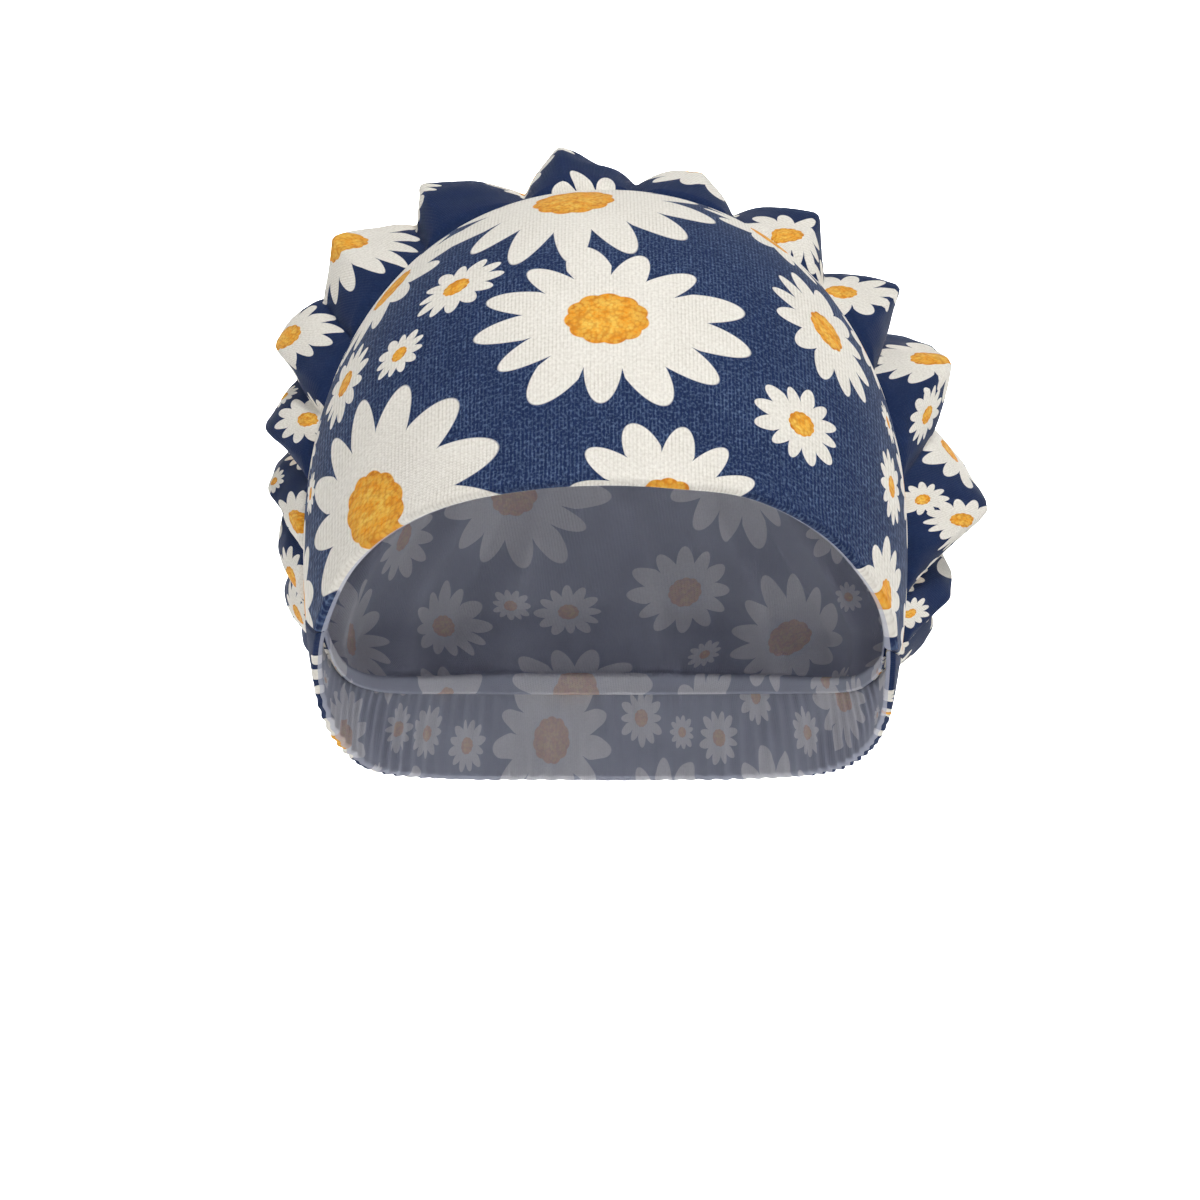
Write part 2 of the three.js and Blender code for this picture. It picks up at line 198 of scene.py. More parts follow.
def brow_direction(place):
    """Directions of the band's brow edge at shares of the way across."""
    turn = column(BAND_STATIONS, "place", "turn", place)
    return direction_at_height(turn, column(BAND_STATIONS, "place", "brow", place) * RISE)


def seam_direction(place):
    """Directions of the band's rear seam at shares of the way across."""
    tilt = column(BAND_STATIONS, "place", "tilt", place)
    return direction_at_clock(column(BAND_STATIONS, "place", "clock", place), tilt)


def nape_end(place, band_place, full_turns):
    """Row of the casing's table at one end of the band, where both edges meet the band's."""
    top = point_over(seam_direction(band_place), 0.0) - CENTRE
    low = point_over(brow_direction(band_place), 0.0) - CENTRE
    turn = math.degrees(math.atan2(top[0], -top[1])) - full_turns * 360
    low_turn = math.degrees(math.atan2(low[0], -low[1])) - full_turns * 360
    return place, turn, top[2] / RISE, (top[2] - low[2]) / NAPE_WIDTH, low_turn - turn


NAPE_LINE = table("place turn top width sweep", [nape_end(0, 0.0, 0), *NAPE_STATIONS, nape_end(1, 1.0, 1)])


def nape_direction(place, lower):
    """Directions of the casing's upper or lower edge at shares of the way round."""
    turn = column(NAPE_LINE, "place", "turn", place)
    top = column(NAPE_LINE, "place", "top", place) * RISE
    if not lower:
        return direction_at_height(turn, top)
    width = column(NAPE_LINE, "place", "width", place) * NAPE_WIDTH
    return direction_at_height(turn + column(NAPE_LINE, "place", "sweep", place), top - width)


print("band stations", len(BAND_STATIONS["place"]), "casing stations", len(NAPE_LINE["place"]))

# %% [markdown]
# ## Cloth walls as meshes
# A sheet of cloth is a wall with two faces that close in a round at every edge. Solidify could
# thicken a surface, but its rims are square. Here the middle of the wall is a grid of points,
# and each face stands off it by half the wall, which shrinks to nothing along a quarter circle
# at the edges. Both faces share their edge vertices, so that the mesh is closed.

# %% Grids of points into closed cloth walls
def closer_at_ends(count, strength):
    """Shares from 0 to 1, closer together towards both ends."""
    even = np.linspace(0, 1, count)
    return even + strength * ((1 - np.cos(math.pi * even)) / 2 - even)


def round_edge(distance, half_wall):
    """Half thickness of a wall at a distance from its rounded edge."""
    inside = np.clip(1 - distance / half_wall, 0, 1)
    return half_wall * np.sqrt(1 - inside**2)


def grid_normals(grid):
    """Unit normals of a ring-shaped grid of points, pointing away from the form."""
    across = np.roll(grid, -1, 0) - np.roll(grid, 1, 0)
    along = np.gradient(grid, axis=1)
    across[:, -1] = across[:, -2]
    normals = unit(np.cross(across, along))
    away = form_normal(grid)
    return np.where((normals * away).sum(-1, keepdims=True) < 0, -normals, normals)


def cloth_wall(name, outer, inner, flat, ring=False, pole=False):
    """Closed mesh between two grids of points. A ring closes on itself, and otherwise its ends
    are welded. The first row is welded, and the last one too, or else drawn into a pole.
    flat gives the grid's place on the flat cloth, which becomes a vertex list beside the mesh."""
    columns, rows = outer.shape[:2]
    out = np.arange(columns * rows).reshape(columns, rows)
    inn = out + columns * rows
    inn[:, 0] = out[:, 0]
    if pole:
        out[:, -1] = out[0, -1]
        inn[:, -1] = inn[0, -1]
    else:
        inn[:, -1] = out[:, -1]
    if ring:
        out, inn = np.vstack([out, out[:1]]), np.vstack([inn, inn[:1]])
    else:
        inn[0], inn[-1] = out[0], out[-1]
    quads = []
    for face in (out, inn):
        quad = np.stack([face[:-1, :-1], face[1:, :-1], face[1:, 1:], face[:-1, 1:]], -1)
        quads.append(quad.reshape(-1, 4))
    corners = np.concatenate([quads[0], quads[1][:, ::-1]])
    right_side = np.repeat([1.0, 0.0], [len(quads[0]), len(quads[1])])
    points = np.concatenate([outer.reshape(-1, 3), inner.reshape(-1, 3)])
    places = np.concatenate([flat.reshape(-1, 2), flat.reshape(-1, 2)])
    a, b, c, d = (points[corners[:, k]] for k in range(4))
    volume = (np.cross(a, b) * c + np.cross(a, c) * d).sum() / 6
    if volume < 0:
        corners = corners[:, ::-1]
    used, numbers = np.unique(corners, return_inverse=True)
    corners = numbers.reshape(corners.shape)
    faces = [tuple(dict.fromkeys(face)) for face in corners.tolist()]
    mesh = bpy.data.meshes.new(name)
    mesh.from_pydata(points[used].tolist(), [], faces)
    mesh.shade_smooth()
    piece = bpy.data.objects.new(name, mesh)
    bpy.context.scene.collection.objects.link(piece)
    side = mesh.attributes.new("right_side", "FLOAT", "FACE")
    side.data.foreach_set("value", right_side)
    print(name, len(mesh.vertices), "vertices", len(mesh.polygons), "faces")
    return piece, places[used]


# %% [markdown]
# ## The print
# Daisies of four sizes are tossed over a navy ground, as on many a scrub cap. An image would be
# the usual way to hold a print. Here each flower is a formula, so that its edge stays sharp at
# any distance, and a short chart says where the flowers lie. Every face of the cloth keeps its
# place in the two nearest flowers as two UV maps, and the material draws a petal from that.

# %% Flowers and where they lie
FLOWER_MAPS = ("flower_a", "flower_b")
# How far the cloth is stretched open between its stitches, from 0 to 1.
HELD_STRETCHED = 1.0
HELD_GATHERED = 0.1


class Flowers:
    """Flowers of the print: centre, the two half axes as vectors, number of petals and seed."""

    def __init__(self):
        self.centres, self.across, self.up, self.kinds = [], [], [], []

    def add(self, centre, across, up, petals, roll=0.0):
        """Adds a flower whose half axes are across and up, turned by roll degrees in itself."""
        turn = math.radians(roll)
        across_unit, up_unit = across / (across @ across), up / (up @ up)
        self.centres.append(np.array(centre, float))
        self.across.append(across_unit * math.cos(turn) + up_unit * math.sin(turn))
        self.up.append(up_unit * math.cos(turn) - across_unit * math.sin(turn))
        self.kinds.append((petals, 1 + len(self.kinds), 0))

    def lay(self, piece, places):
        """Writes the piece's places in its two nearest flowers as UV maps and face attributes."""
        mesh = piece.data
        count = len(mesh.loops)
        corners = np.empty(count, int)
        mesh.loops.foreach_get("vertex_index", corners)
        faces = np.repeat(np.arange(len(mesh.polygons)), [len(face.vertices) for face in mesh.polygons])
        middles = np.stack([np.bincount(faces, places[corners, k]) for k in range(3)], -1)
        middles /= np.bincount(faces)[:, None]
        centres, across, up = (np.array(x) for x in (self.centres, self.across, self.up))
        face_up = unit(np.cross(across, up))
        apart = middles[:, None] - centres
        deep = (apart * face_up).sum(-1) ** 2 * (across**2).sum(-1)
        far = (apart * across).sum(-1) ** 2 + (apart * up).sum(-1) ** 2 + deep
        order = np.argsort(far, axis=1)[:, :2]
        for name, chosen in zip(FLOWER_MAPS, order.T):
            own = chosen[faces]
            away = places[corners] - centres[own]
            spot = np.stack([(away * across[own]).sum(-1), (away * up[own]).sum(-1)], -1)
            mesh.uv_layers.new(name=name).data.foreach_set("uv", spot.ravel())
            kind = mesh.attributes.new(name + "_kind", "FLOAT_VECTOR", "FACE")
            kind.data.foreach_set("vector", np.array(self.kinds, float)[chosen].ravel())


def map_cloth(piece, flat, stretched):
    """Keeps the piece's place on the flat cloth, in metres, as its first UV map, and its stretch."""
    mesh = piece.data
    held = mesh.attributes.new("stretched", "FLOAT", "FACE")
    held.data.foreach_set("value", np.full(len(mesh.polygons), stretched))
    corners = np.empty(len(mesh.loops), int)
    mesh.loops.foreach_get("vertex_index", corners)
    mesh.uv_layers.new(name="cloth").data.foreach_set("uv", flat[corners].ravel())


print("flower maps", *FLOWER_MAPS)


# %% [markdown]
# ## Front band
# On the real cap this is a wide panel of jersey, folded double along the brow and stretched from
# ear to ear, with its raw edges sewn into the crown's seam behind. It could be a subdivided
# patch. Its two edges are known curves on the form, so each line of the grid runs along the
# great circle between them. The brow fold is a fuller roll than the rest of the wall.

# %% Front band
BAND_WALL = 2.4 * MM
BAND_COLUMNS = 341
BAND_ROWS = 121
BAND_STRETCH = 1.056
ROLL_SWELL = 0.7 * MM
ROLL_REACH = 4 * MM
MARGIN_DIP = 1.2 * MM
MARGIN_REACH = 3 * MM


def band_grid(place, share):
    """Points on the form at places across the band and shares from its brow to its seam."""
    direction = between(brow_direction(place)[:, None], seam_direction(place)[:, None], share[None])
    return direction, point_over(direction, np.zeros(direction.shape[:2]))


def make_front_band():
    """The folded panel as a closed wall, with its flat places along and across the wales."""
    place = closer_at_ends(BAND_COLUMNS, strength=0.9)
    share = closer_at_ends(BAND_ROWS, strength=1.0)
    direction, surface = band_grid(place, share)
    steps = np.linalg.norm(np.diff(surface, axis=1), axis=-1)
    along = np.concatenate([np.zeros((len(place), 1)), np.cumsum(steps, 1)], 1)
    width = along[:, -1:]
    sideways = np.linalg.norm(np.diff(surface, axis=0), axis=-1).mean(1)
    ear = np.concatenate([[0], np.cumsum(sideways)])[:, None]
    to_end = np.minimum(ear, ear[-1] - ear)
    to_brow, to_seam = along, width - along
    roll = np.exp(-((to_brow / ROLL_REACH) ** 2))
    margin = np.clip(1 - to_seam / MARGIN_REACH, 0, 1) ** 2
    half = BAND_WALL / 2 + ROLL_SWELL * roll
    nearest = np.minimum(np.minimum(to_brow, to_seam), to_end)
    thick = round_edge(nearest, half)
    normal = form_normal(surface)
    middle = surface - normal * (BAND_WALL / 2 + MARGIN_DIP * margin)[..., None]
    outward = normal * thick[..., None]
    flat = np.stack([surface[..., 0] / BAND_STRETCH, along], -1)
    piece, flat = cloth_wall("band_panel", middle + outward, middle - outward, flat)
    map_cloth(piece, flat, HELD_STRETCHED)
    return piece


band_panel = make_front_band()
print("band panel", [round(x, 4) for x in band_panel.dimensions])

# %% [markdown]
# ## Crown
# The bag is a large round of jersey, gathered into the band's seam and the casing. Its pleats
# have rounded ridges and pinched creases that start at the seam, reach their full height where
# the cloth turns back, and fade towards the middle at the back of the head. Sculpting or a cloth
# simulation could find such folds, but not where this cap has them. So each line of the grid
# runs from the seam to one pole, and a table sets the folds. It is the CAD crown's table, tuned
# further. The rim is tucked under the band, so that no light shows through the seam.

# %% Tables of folds
# ridge and end: where the ridge and the valley after it lie, as the clock at the seam, or as the
# share of the way round at the casing. crest and trough: how far the two stand off, and lean:
# how far the ridge leans over. reach: where the fold has faded.
SEAM_START = (-20.0, 0.35)
SEAM_FOLDS = table("ridge end crest trough lean reach", [
    (-16.5, -11.0, 0.64, 0.34, -0.05, 0.80),
    (-1.0, 12.5, 1.11, 0.58, -0.10, 0.95),
    (26.0, 32.5, 1.07, 0.34, -0.20, 0.80),
    (40.5, 50.0, 0.88, 0.30, -0.15, 0.70),
    (57.5, 68.5, 0.72, 0.28, -0.12, 0.90),
    (76.0, 85.0, 0.54, 0.33, -0.08, 0.75),
    (96.5, 103.0, 0.74, 0.30, 0.03, 0.95),
    (116.0, 121.0, 0.82, 0.48, 0.16, 0.75),
    (130.5, 140.5, 1.04, 0.70, 0.20, 0.90),
    (149.5, 155.0, 0.90, 0.52, 0.20, 0.80),
    (163.0, 168.0, 0.70, 0.26, 0.18, 0.95),
    (175.5, 182.0, 0.52, 0.36, 0.12, 0.75),
    (188.5, 193.0, 0.38, 0.15, 0.05, 0.85),
])

NAPE_START = (0.0, 0.15)
NAPE_FOLDS = table("ridge end crest trough lean reach", [
    (0.060, 0.120, 0.50, 0.30, 0.05, 0.70),
    (0.170, 0.220, 0.80, 0.50, 0.08, 0.60),
    (0.280, 0.340, 0.85, 0.60, 0.08, 0.75),
    (0.385, 0.430, 1.00, 0.60, 0.05, 0.65),
    (0.485, 0.540, 0.90, 0.65, 0.00, 0.80),
    (0.590, 0.630, 1.00, 0.60, -0.05, 0.60),
    (0.690, 0.745, 0.85, 0.60, -0.08, 0.75),
    (0.800, 0.860, 0.90, 0.50, -0.08, 0.65),
    (0.930, 1.000, 0.65, 0.35, -0.05, 0.75),
])


def fold_columns(start, folds, steps):
    """Place, standoff, lean, reach and pinch of each grid line across a row of folds."""
    lines = []
    end, trough = start
    reaches = folds["reach"]
    for number, (ridge, stop, crest, valley, lean, reach) in enumerate(zip(*folds.values())):
        broad_first = abs(ridge - end) > abs(stop - ridge)
        rising = round(steps * (BROAD_SIDE if broad_first else 1 - BROAD_SIDE))
        for step in range(steps):
            up = step <= rising
            share = step / rising if up else (step - rising) / (steps - rising)
            place = end + (ridge - end) * share if up else ridge + (stop - ridge) * share
            risen = share if up else 1 - share
            height = risen**FOLD_FULLNESS
            low = trough if up else valley
            neighbour = reaches[max(number - 1, 0)] if up else reaches[min(number + 1, len(reaches) - 1)]
            shared = (reach + neighbour) / 2
            lines.append((place, low + (crest - low) * height, lean * height**LEAN_GROWTH,
                          shared + (reach - shared) * height, (1 - risen) ** PINCH_SHARPNESS))
        end, trough = stop, valley
    return np.array(lines).T


print("folds at the seam", len(SEAM_FOLDS["ridge"]), "and at the casing", len(NAPE_FOLDS["ridge"]))

# %% Lines of the crown
BAG_DEPTH = 22 * MM
BACK_DEPTH = 17 * MM
FOLD_SETBACK = 27 * MM
SEAM_GAP = 0.35 * MM
TUCK_REACH = 6 * MM
TUCK_DEPTH = 4.2 * MM
TUCK_RISE = 3.5 * MM
CROWN_WALL = 1.0 * MM
POLE_ELEVATION = math.radians(35)
POLE = np.array([0, math.cos(POLE_ELEVATION), math.sin(POLE_ELEVATION)])
FADE_START = 0.3
FOLD_FULLNESS = 1.3
LEAN_GROWTH = 1.4
PINCH_DEPTH = 3.0 * MM
PINCH_RISE = 5 * MM
PINCH_SHARPNESS = 5
BROAD_SIDE = 2 / 3
SEAM_STEPS = 30
NAPE_STEPS = 16
CROWN_ROWS = 91
ROW_GROWTH = 1.3
TURN_SHARPNESS = 0.006
TURN_RATE = 1.08


def place_at_clock(clock):
    """Shares of the way across the band at which its rear seam has given clocks."""
    low, high = np.zeros_like(clock), np.ones_like(clock)
    for _ in range(40):
        middle = (low + high) / 2
        above = column(BAND_STATIONS, "place", "clock", middle) > clock
        low, high = np.where(above, middle, low), np.where(above, high, middle)
    return (low + high) / 2


def seam_lines(clock):
    """Starts of the crown's lines on the band's seam, and directions by which they pass half way."""
    place = place_at_clock(clock)
    start = seam_direction(place)
    angle = np.degrees(np.arccos(start @ POLE))
    tilt = column(BAND_STATIONS, "place", "tilt", place)
    straight = direction_at_clock(clock, tilt + angle / 2)
    straightness = np.sin(math.pi * place)[:, None]
    bent = between(start, POLE, np.full(len(start), 0.5))
    return start, unit(bent * (1 - straightness) + straight * straightness)


def nape_lines(place):
    """Starts and half-way directions of the crown's lines on the casing's upper edge."""
    start = nape_direction(place, False)
    return start, between(start, POLE, np.full(len(start), 0.5))


def turn_back(share):
    """Rise of a fold behind the seam: a flat slope, and then level behind a soft corner."""
    slope = share * TURN_RATE
    return (slope + 1 - np.sqrt((slope - 1) ** 2 + TURN_SHARPNESS)) / 2


def eased(share):
    """Shares that start and end gently."""
    return share**2 * (3 - 2 * share)


def waves(points, size, seed, count=9):
    """Smooth unevenness, about -1 to 1: sine waves in seeded directions."""
    chance = np.random.default_rng(seed)
    total = np.zeros(points.shape[:-1])
    for _ in range(count):
        heading = unit(chance.normal(size=3)) * chance.uniform(0.7, 1.4)
        total += np.sin(points @ heading * math.tau / size + chance.uniform(0, math.tau))
    return total / math.sqrt(count)


print("crown grid", len(SEAM_FOLDS["ridge"]) * SEAM_STEPS + len(NAPE_FOLDS["ridge"]) * NAPE_STEPS, "lines")

# %% [markdown]
# The print lies on the cloth as it was before it was gathered, so the crown needs its place on
# the flat round. A point's distance from the pole is measured along its own line of the grid,
# and its direction follows from how far round the folds it lies, all ups and downs included.

# %% Crown
PUCKER_DEPTH = 0.3 * MM
PUCKER_SPACING = 6 * MM
PUCKER_REACH = 6 * MM
PUCKER_WANDER = 2.5
WANDER_SIZE = 0.3
SLACK_DEPTH = 0.8 * MM
SLACK_SIZE = 42 * MM
CREASE_DEPTH = 0.35 * MM
CREASE_SIZE = 14 * MM
SOFTENING = 1
FRONT_CLOCK = 95.0


def crown_middle():
    """The middle of the crown's wall: lines round the rim, rows from seam to pole, and their clocks
    and distances behind the seam."""
    clock, *seam = fold_columns(SEAM_START, SEAM_FOLDS, SEAM_STEPS)
    way, *nape = fold_columns(NAPE_START, NAPE_FOLDS, NAPE_STEPS)
    start, half = (np.concatenate(pair) for pair in zip(seam_lines(clock), nape_lines(way)))
    standoff, lean, reach, pinch = (np.concatenate(pair)[:, None] for pair in zip(seam, nape))
    length = (np.arccos(start @ POLE) * form_radius(start))[:, None]
    under = TUCK_REACH / length
    share = (1 + under) * np.linspace(0, 1, CROWN_ROWS) ** ROW_GROWTH - under
    start, half = start[:, None], half[:, None]
    direction = between(between(start, half, share), between(half, POLE, share), share)
    behind = share * length
    full = turn_back(np.maximum(behind, 0) / FOLD_SETBACK)
    tucked = TUCK_DEPTH * (1 - eased(np.clip(behind / TUCK_RISE, 0, 1)))
    faded = eased(np.clip((share - FADE_START) / (reach - FADE_START), 0, 1))
    height = (standoff * BAG_DEPTH * (1 - faded) + BACK_DEPTH * faded) * full
    height -= PINCH_DEPTH * pinch * np.clip(behind / PINCH_RISE, 0, 1) * (1 - faded)
    side = np.cross(direction, POLE)
    side /= np.maximum(np.linalg.norm(side, axis=-1, keepdims=True), 1e-9)
    grid = point_over(direction, height - CROWN_WALL / 2 * (1 - full) - tucked)
    grid += side * (lean * BAG_DEPTH * full * (1 - faded))[..., None]
    round_rim = np.cumsum(np.linalg.norm(np.roll(start, -1, 0) - start, axis=-1) * HALF_DEPTH, 0)
    phase = round_rim * math.tau / PUCKER_SPACING + PUCKER_WANDER * waves(start, WANDER_SIZE, seed=5)
    pucker = np.sin(phase) * np.exp(-behind / PUCKER_REACH)
    slack = SLACK_DEPTH * waves(grid, SLACK_SIZE, seed=11)
    slack += CREASE_DEPTH * waves(grid, CREASE_SIZE, seed=23)
    uneven = pucker * PUCKER_DEPTH * np.clip(behind / MARGIN_REACH, 0, 1) + slack * np.clip(full, 0, 1)
    grid += form_normal(grid) * uneven[..., None]
    for _ in range(SOFTENING):
        grid[:, 1:-1] = (np.roll(grid, 1, 0) + 2 * grid + np.roll(grid, -1, 0))[:, 1:-1] / 4
    grid[:, -1] = CENTRE + POLE * (form_radius(POLE) + BACK_DEPTH)
    return grid, clock, behind


def flat_round(grid, clock):
    """Place of each point of the grid on the flat round of cloth, in metres."""
    steps = np.linalg.norm(np.diff(grid, axis=1), axis=-1)
    to_pole = np.concatenate([np.cumsum(steps[:, ::-1], 1)[:, ::-1], np.zeros((len(grid), 1))], 1)
    row = np.argmax(np.cumsum(steps.mean(0)) > FOLD_SETBACK)
    stride = np.linalg.norm(np.roll(grid[:, row], -1, 0) - grid[:, row], axis=-1)
    round_ = np.concatenate([[0], np.cumsum(stride)[:-1]]) / stride.sum() * math.tau
    front = round_[np.argmin(np.abs(clock - FRONT_CLOCK))]
    angle = (round_ - front + math.pi / 2)[:, None]
    print("crown cloth", round(stride.sum(), 3), "m round the folds")
    return np.stack([to_pole * np.cos(angle), to_pole * np.sin(angle)], -1)


def make_crown():
    """The gathered bag as a closed wall, and its places on the flat cloth."""
    middle, clock, behind = crown_middle()
    flat = flat_round(middle, clock)
    chart = clock, behind[:len(clock)], flat[:len(clock)]
    normal = grid_normals(middle)
    steps = np.linalg.norm(np.diff(middle, axis=1), axis=-1)
    from_rim = np.concatenate([np.zeros((len(middle), 1)), np.cumsum(steps, 1)], 1)
    thick = round_edge(from_rim, CROWN_WALL / 2)[..., None]
    outward = normal * thick
    piece, flat = cloth_wall("crown_bag", middle + outward, middle - outward, flat, ring=True, pole=True)
    map_cloth(piece, flat, HELD_GATHERED)
    return piece, flat, chart


crown_bag, crown_flat, CROWN_CHART = make_crown()
print("crown bag", [round(x, 4) for x in crown_bag.dimensions])

# %% [markdown]
# ## Nape casing
# A narrow tunnel of the same jersey with elastic inside closes the cap at the nape. The elastic
# draws it into small even ripples. It follows its own table of stations between the two ends of
# the band, and its ripples are a sine wave of the distance round the nape.

# %% Nape casing
NAPE_WALL = 2.6 * MM
NAPE_COLUMNS = 621
NAPE_ROWS = 41
RIPPLE_DEPTH = 0.85 * MM
RIPPLE_SPACING = 5.5 * MM
RIPPLE_FADE = 60 * MM
RIPPLE_DRIFT = 1.6
RIPPLE_DRIFT_SIZE = 60 * MM
RIPPLE_VARIETY = 0.4
RIPPLE_VARIETY_SIZE = 30 * MM
GATHER = 1.35
TOPSTITCH_INSET = 3.5 * MM


def nape_surface(place, share):
    """Points on the form at places round the casing and shares from its lower to upper edge."""
    low, high = nape_direction(place, True), nape_direction(place, False)
    direction = between(low[:, None], high[:, None], share[None])
    return point_over(direction, np.zeros(direction.shape[:2]))


def make_nape_casing():
    """The gathered casing as a closed wall, with its places on the flat strip."""
    rim = SEAM_GAP / (HALF_WIDTH + 2 * HALF_DEPTH)
    place = rim + (1 - 2 * rim) * closer_at_ends(NAPE_COLUMNS, strength=0.7)
    surface = nape_surface(place, closer_at_ends(NAPE_ROWS, strength=1.0))
    steps = np.linalg.norm(np.diff(surface, axis=1), axis=-1)
    up = np.concatenate([np.zeros((len(place), 1)), np.cumsum(steps, 1)], 1)
    sideways = np.linalg.norm(np.diff(surface, axis=0), axis=-1).mean(1)
    way = np.concatenate([[0], np.cumsum(sideways)])[:, None]
    to_end = np.minimum(way, way[-1] - way)
    nearest = np.minimum(np.minimum(up, up[:, -1:] - up), to_end)
    thick = round_edge(nearest, NAPE_WALL / 2)[..., None]
    phase = way * math.tau / RIPPLE_SPACING + RIPPLE_DRIFT * waves(surface, RIPPLE_DRIFT_SIZE, seed=31)
    depth = RIPPLE_DEPTH * np.clip(to_end / RIPPLE_FADE, 0, 1) ** 2
    depth = depth * (1 + RIPPLE_VARIETY * waves(surface, RIPPLE_VARIETY_SIZE, seed=37))
    normal = form_normal(surface)
    middle = surface - normal * (NAPE_WALL / 2 + depth * (1 - np.sin(phase)) / 2)[..., None]
    flat = np.stack([way * GATHER + 0 * up, up], -1)
    outer = middle + normal * thick
    piece, flat = cloth_wall("nape_casing", outer, middle - normal * thick, flat)
    map_cloth(piece, flat, HELD_GATHERED)
    row = np.argmin(np.abs(up[:, -1:] - up - TOPSTITCH_INSET), axis=1)
    line = np.arange(len(row))
    return piece, flat, (outer[line, row], normal[line, row])


nape_casing, nape_flat, TOPSTITCH_LINE = make_nape_casing()
print("nape casing", [round(x, 4) for x in nape_casing.dimensions])

# %% [markdown]
# ## Laying the flowers
# On the front of the band and on the folds behind it the flowers are charted one by one, because
# that is where the eye rests. On the band they are wider than tall, since the jersey is
# stretched from ear to ear. The rest of the cloth is filled as a designer of a tossed print does
# it: large flowers first, then smaller ones in the spaces that are left.

# %% Flowers on the band
# turn and lift: the flower's middle, in degrees. across and tall: its half sizes in millimetres.
BAND_FLOWERS = table("turn lift across tall petals roll", [
    (-11.2, 64.8, 36.0, 42.0, 13, 6),
    (0.2, 32.5, 35.0, 26.5, 13, 4),
    (-37.4, 5.2, 40.0, 33.0, 13, 10),
    (8.3, 5.3, 25.8, 20.3, 12, 4),
    (46.1, 35.0, 21.5, 19.5, 12, 10),
    (31.0, 17.5, 14.6, 10.8, 12, 0),
    (-29.5, 40.4, 13.2, 9.2, 12, 8),
    (-37.5, 29.4, 9.3, 6.8, 11, 0),
    (-55.1, 27.2, 13.5, 11.8, 12, 5),
    (-57.5, 45.5, 25.0, 18.0, 12, 0),
    (57.0, 57.5, 21.0, 15.0, 11, 12),
    (76.9, 10.9, 19.9, 16.5, 12, 0),
    (53.1, -8.1, 17.0, 15.0, 11, 0),
])
# size: half size in millimetres. CLOSENESS: how near two tossed flowers may come, as a share of
# their two half sizes.
TOSSED = table("size petals", [(27.0, 13), (16.0, 12), (10.0, 12), (6.0, 11)])
CLOSENESS = 0.97
TRIES = 1600
TOSS_ROWS = 9
CHARTED_FRONT = -45 * MM


def cloth_axes(point):
    """Unit vectors across and along the jersey's wales at a point of the form."""
    normal = form_normal(point)
    up = np.array([0, normal[2], -normal[1]])
    up /= np.linalg.norm(up)
    return np.cross(up, normal), up


def direction_of(turn, lift):
    """Direction by its turn from the front and its lift over the level, in degrees."""
    turn, lift = math.radians(turn), math.radians(lift)
    return np.array([math.cos(lift) * math.sin(turn), -math.cos(lift) * math.cos(turn), math.sin(lift)])


def toss(flowers, spots, axes):
    """Fills the spaces between flowers with smaller ones, at the first of the spots that fit."""
    radii = [1 / np.sqrt(np.linalg.norm(a) * np.linalg.norm(u)) for a, u in zip(flowers.across, flowers.up)]
    turns = np.random.default_rng(seed=3).uniform(0, 360, len(TOSSED["size"]) * len(spots))
    for size, petals in zip(TOSSED["size"] * MM, TOSSED["petals"]):
        for spot in spots:
            centres = np.array(flowers.centres).reshape(-1, 3)
            if (np.linalg.norm(centres - spot, axis=1) < CLOSENESS * (np.array(radii) + size)).any():
                continue
            across, up = axes(spot)
            flowers.add(spot, across * size, up * size, petals, turns[len(radii)])
            radii.append(size)
    return flowers


def band_flowers():
    """The charted flowers of the band, and small ones in between."""
    flowers = Flowers()
    for turn, lift, across, tall, petals, roll in zip(*BAND_FLOWERS.values()):
        point = point_over(direction_of(turn, lift), 0.0)
        side, up = cloth_axes(point)
        flowers.add(point, side * across * MM, up * tall * MM, petals, roll)
    chance = np.random.default_rng(seed=8)
    places, shares = chance.uniform(0, 1, (2, TRIES))
    _, surface = band_grid(places, np.linspace(0, 1, TOSS_ROWS))
    spots = surface[np.arange(TRIES), (shares * TOSS_ROWS).astype(int)]
    at_sides = spots[:, 1] > CHARTED_FRONT
    return toss(flowers, spots[at_sides], cloth_axes)


band_print = band_flowers()
band_points = np.array([vertex.co for vertex in band_panel.data.vertices])
band_print.lay(band_panel, band_points)
print("flowers on the band", len(band_print.centres))

# %% Flowers on the crown and the casing
# clock and behind: round the seam in degrees and behind it in millimetres. size: half size.
CROWN_FLOWERS = table("clock behind size petals roll", [
    (90.5, -5.0, 25.0, 13, 8),
    (102.0, 24.0, 14.0, 12, 0),
    (119.5, 24.0, 11.0, 12, 5),
    (130.5, 23.0, 24.0, 12, 10),
    (147.5, 22.0, 18.0, 12, 0),
    (167.0, 23.0, 11.0, 12, 0),
    (157.5, 7.0, 14.0, 12, 20),
    (175.5, 5.0, 16.0, 12, 4),
    (188.0, 9.0, 13.0, 12, 12),
    (75.0, 27.0, 19.0, 12, 12),
    (60.0, 7.0, 17.0, 12, 0),
    (47.0, 9.0, 18.0, 12, 8),
    (27.5, 24.0, 20.0, 12, 10),
    (20.8, 13.0, 11.0, 12, 0),
    (6.0, 35.0, 20.0, 12, 0),
    (0.3, 16.0, 13.0, 12, 6),
    (7.0, 7.0, 10.0, 12, 15),
    (-8.5, 15.0, 13.0, 12, 4),
    (-13.5, 4.0, 10.0, 12, 10),
])
CROWN_PLAIN = 33 * MM
CROWN_REACH = 0.21
# x and y on the flat casing in metres, half size in millimetres, petals and roll.
NAPE_FLOWERS = ((0.245, 0.0, 14.0, 12, 0.0), (-0.245, 0.0, 13.0, 12, 15.0))
NAPE_STRIP = (0.46, 0.08, 0)
NAPE_TOSSED = 0.2


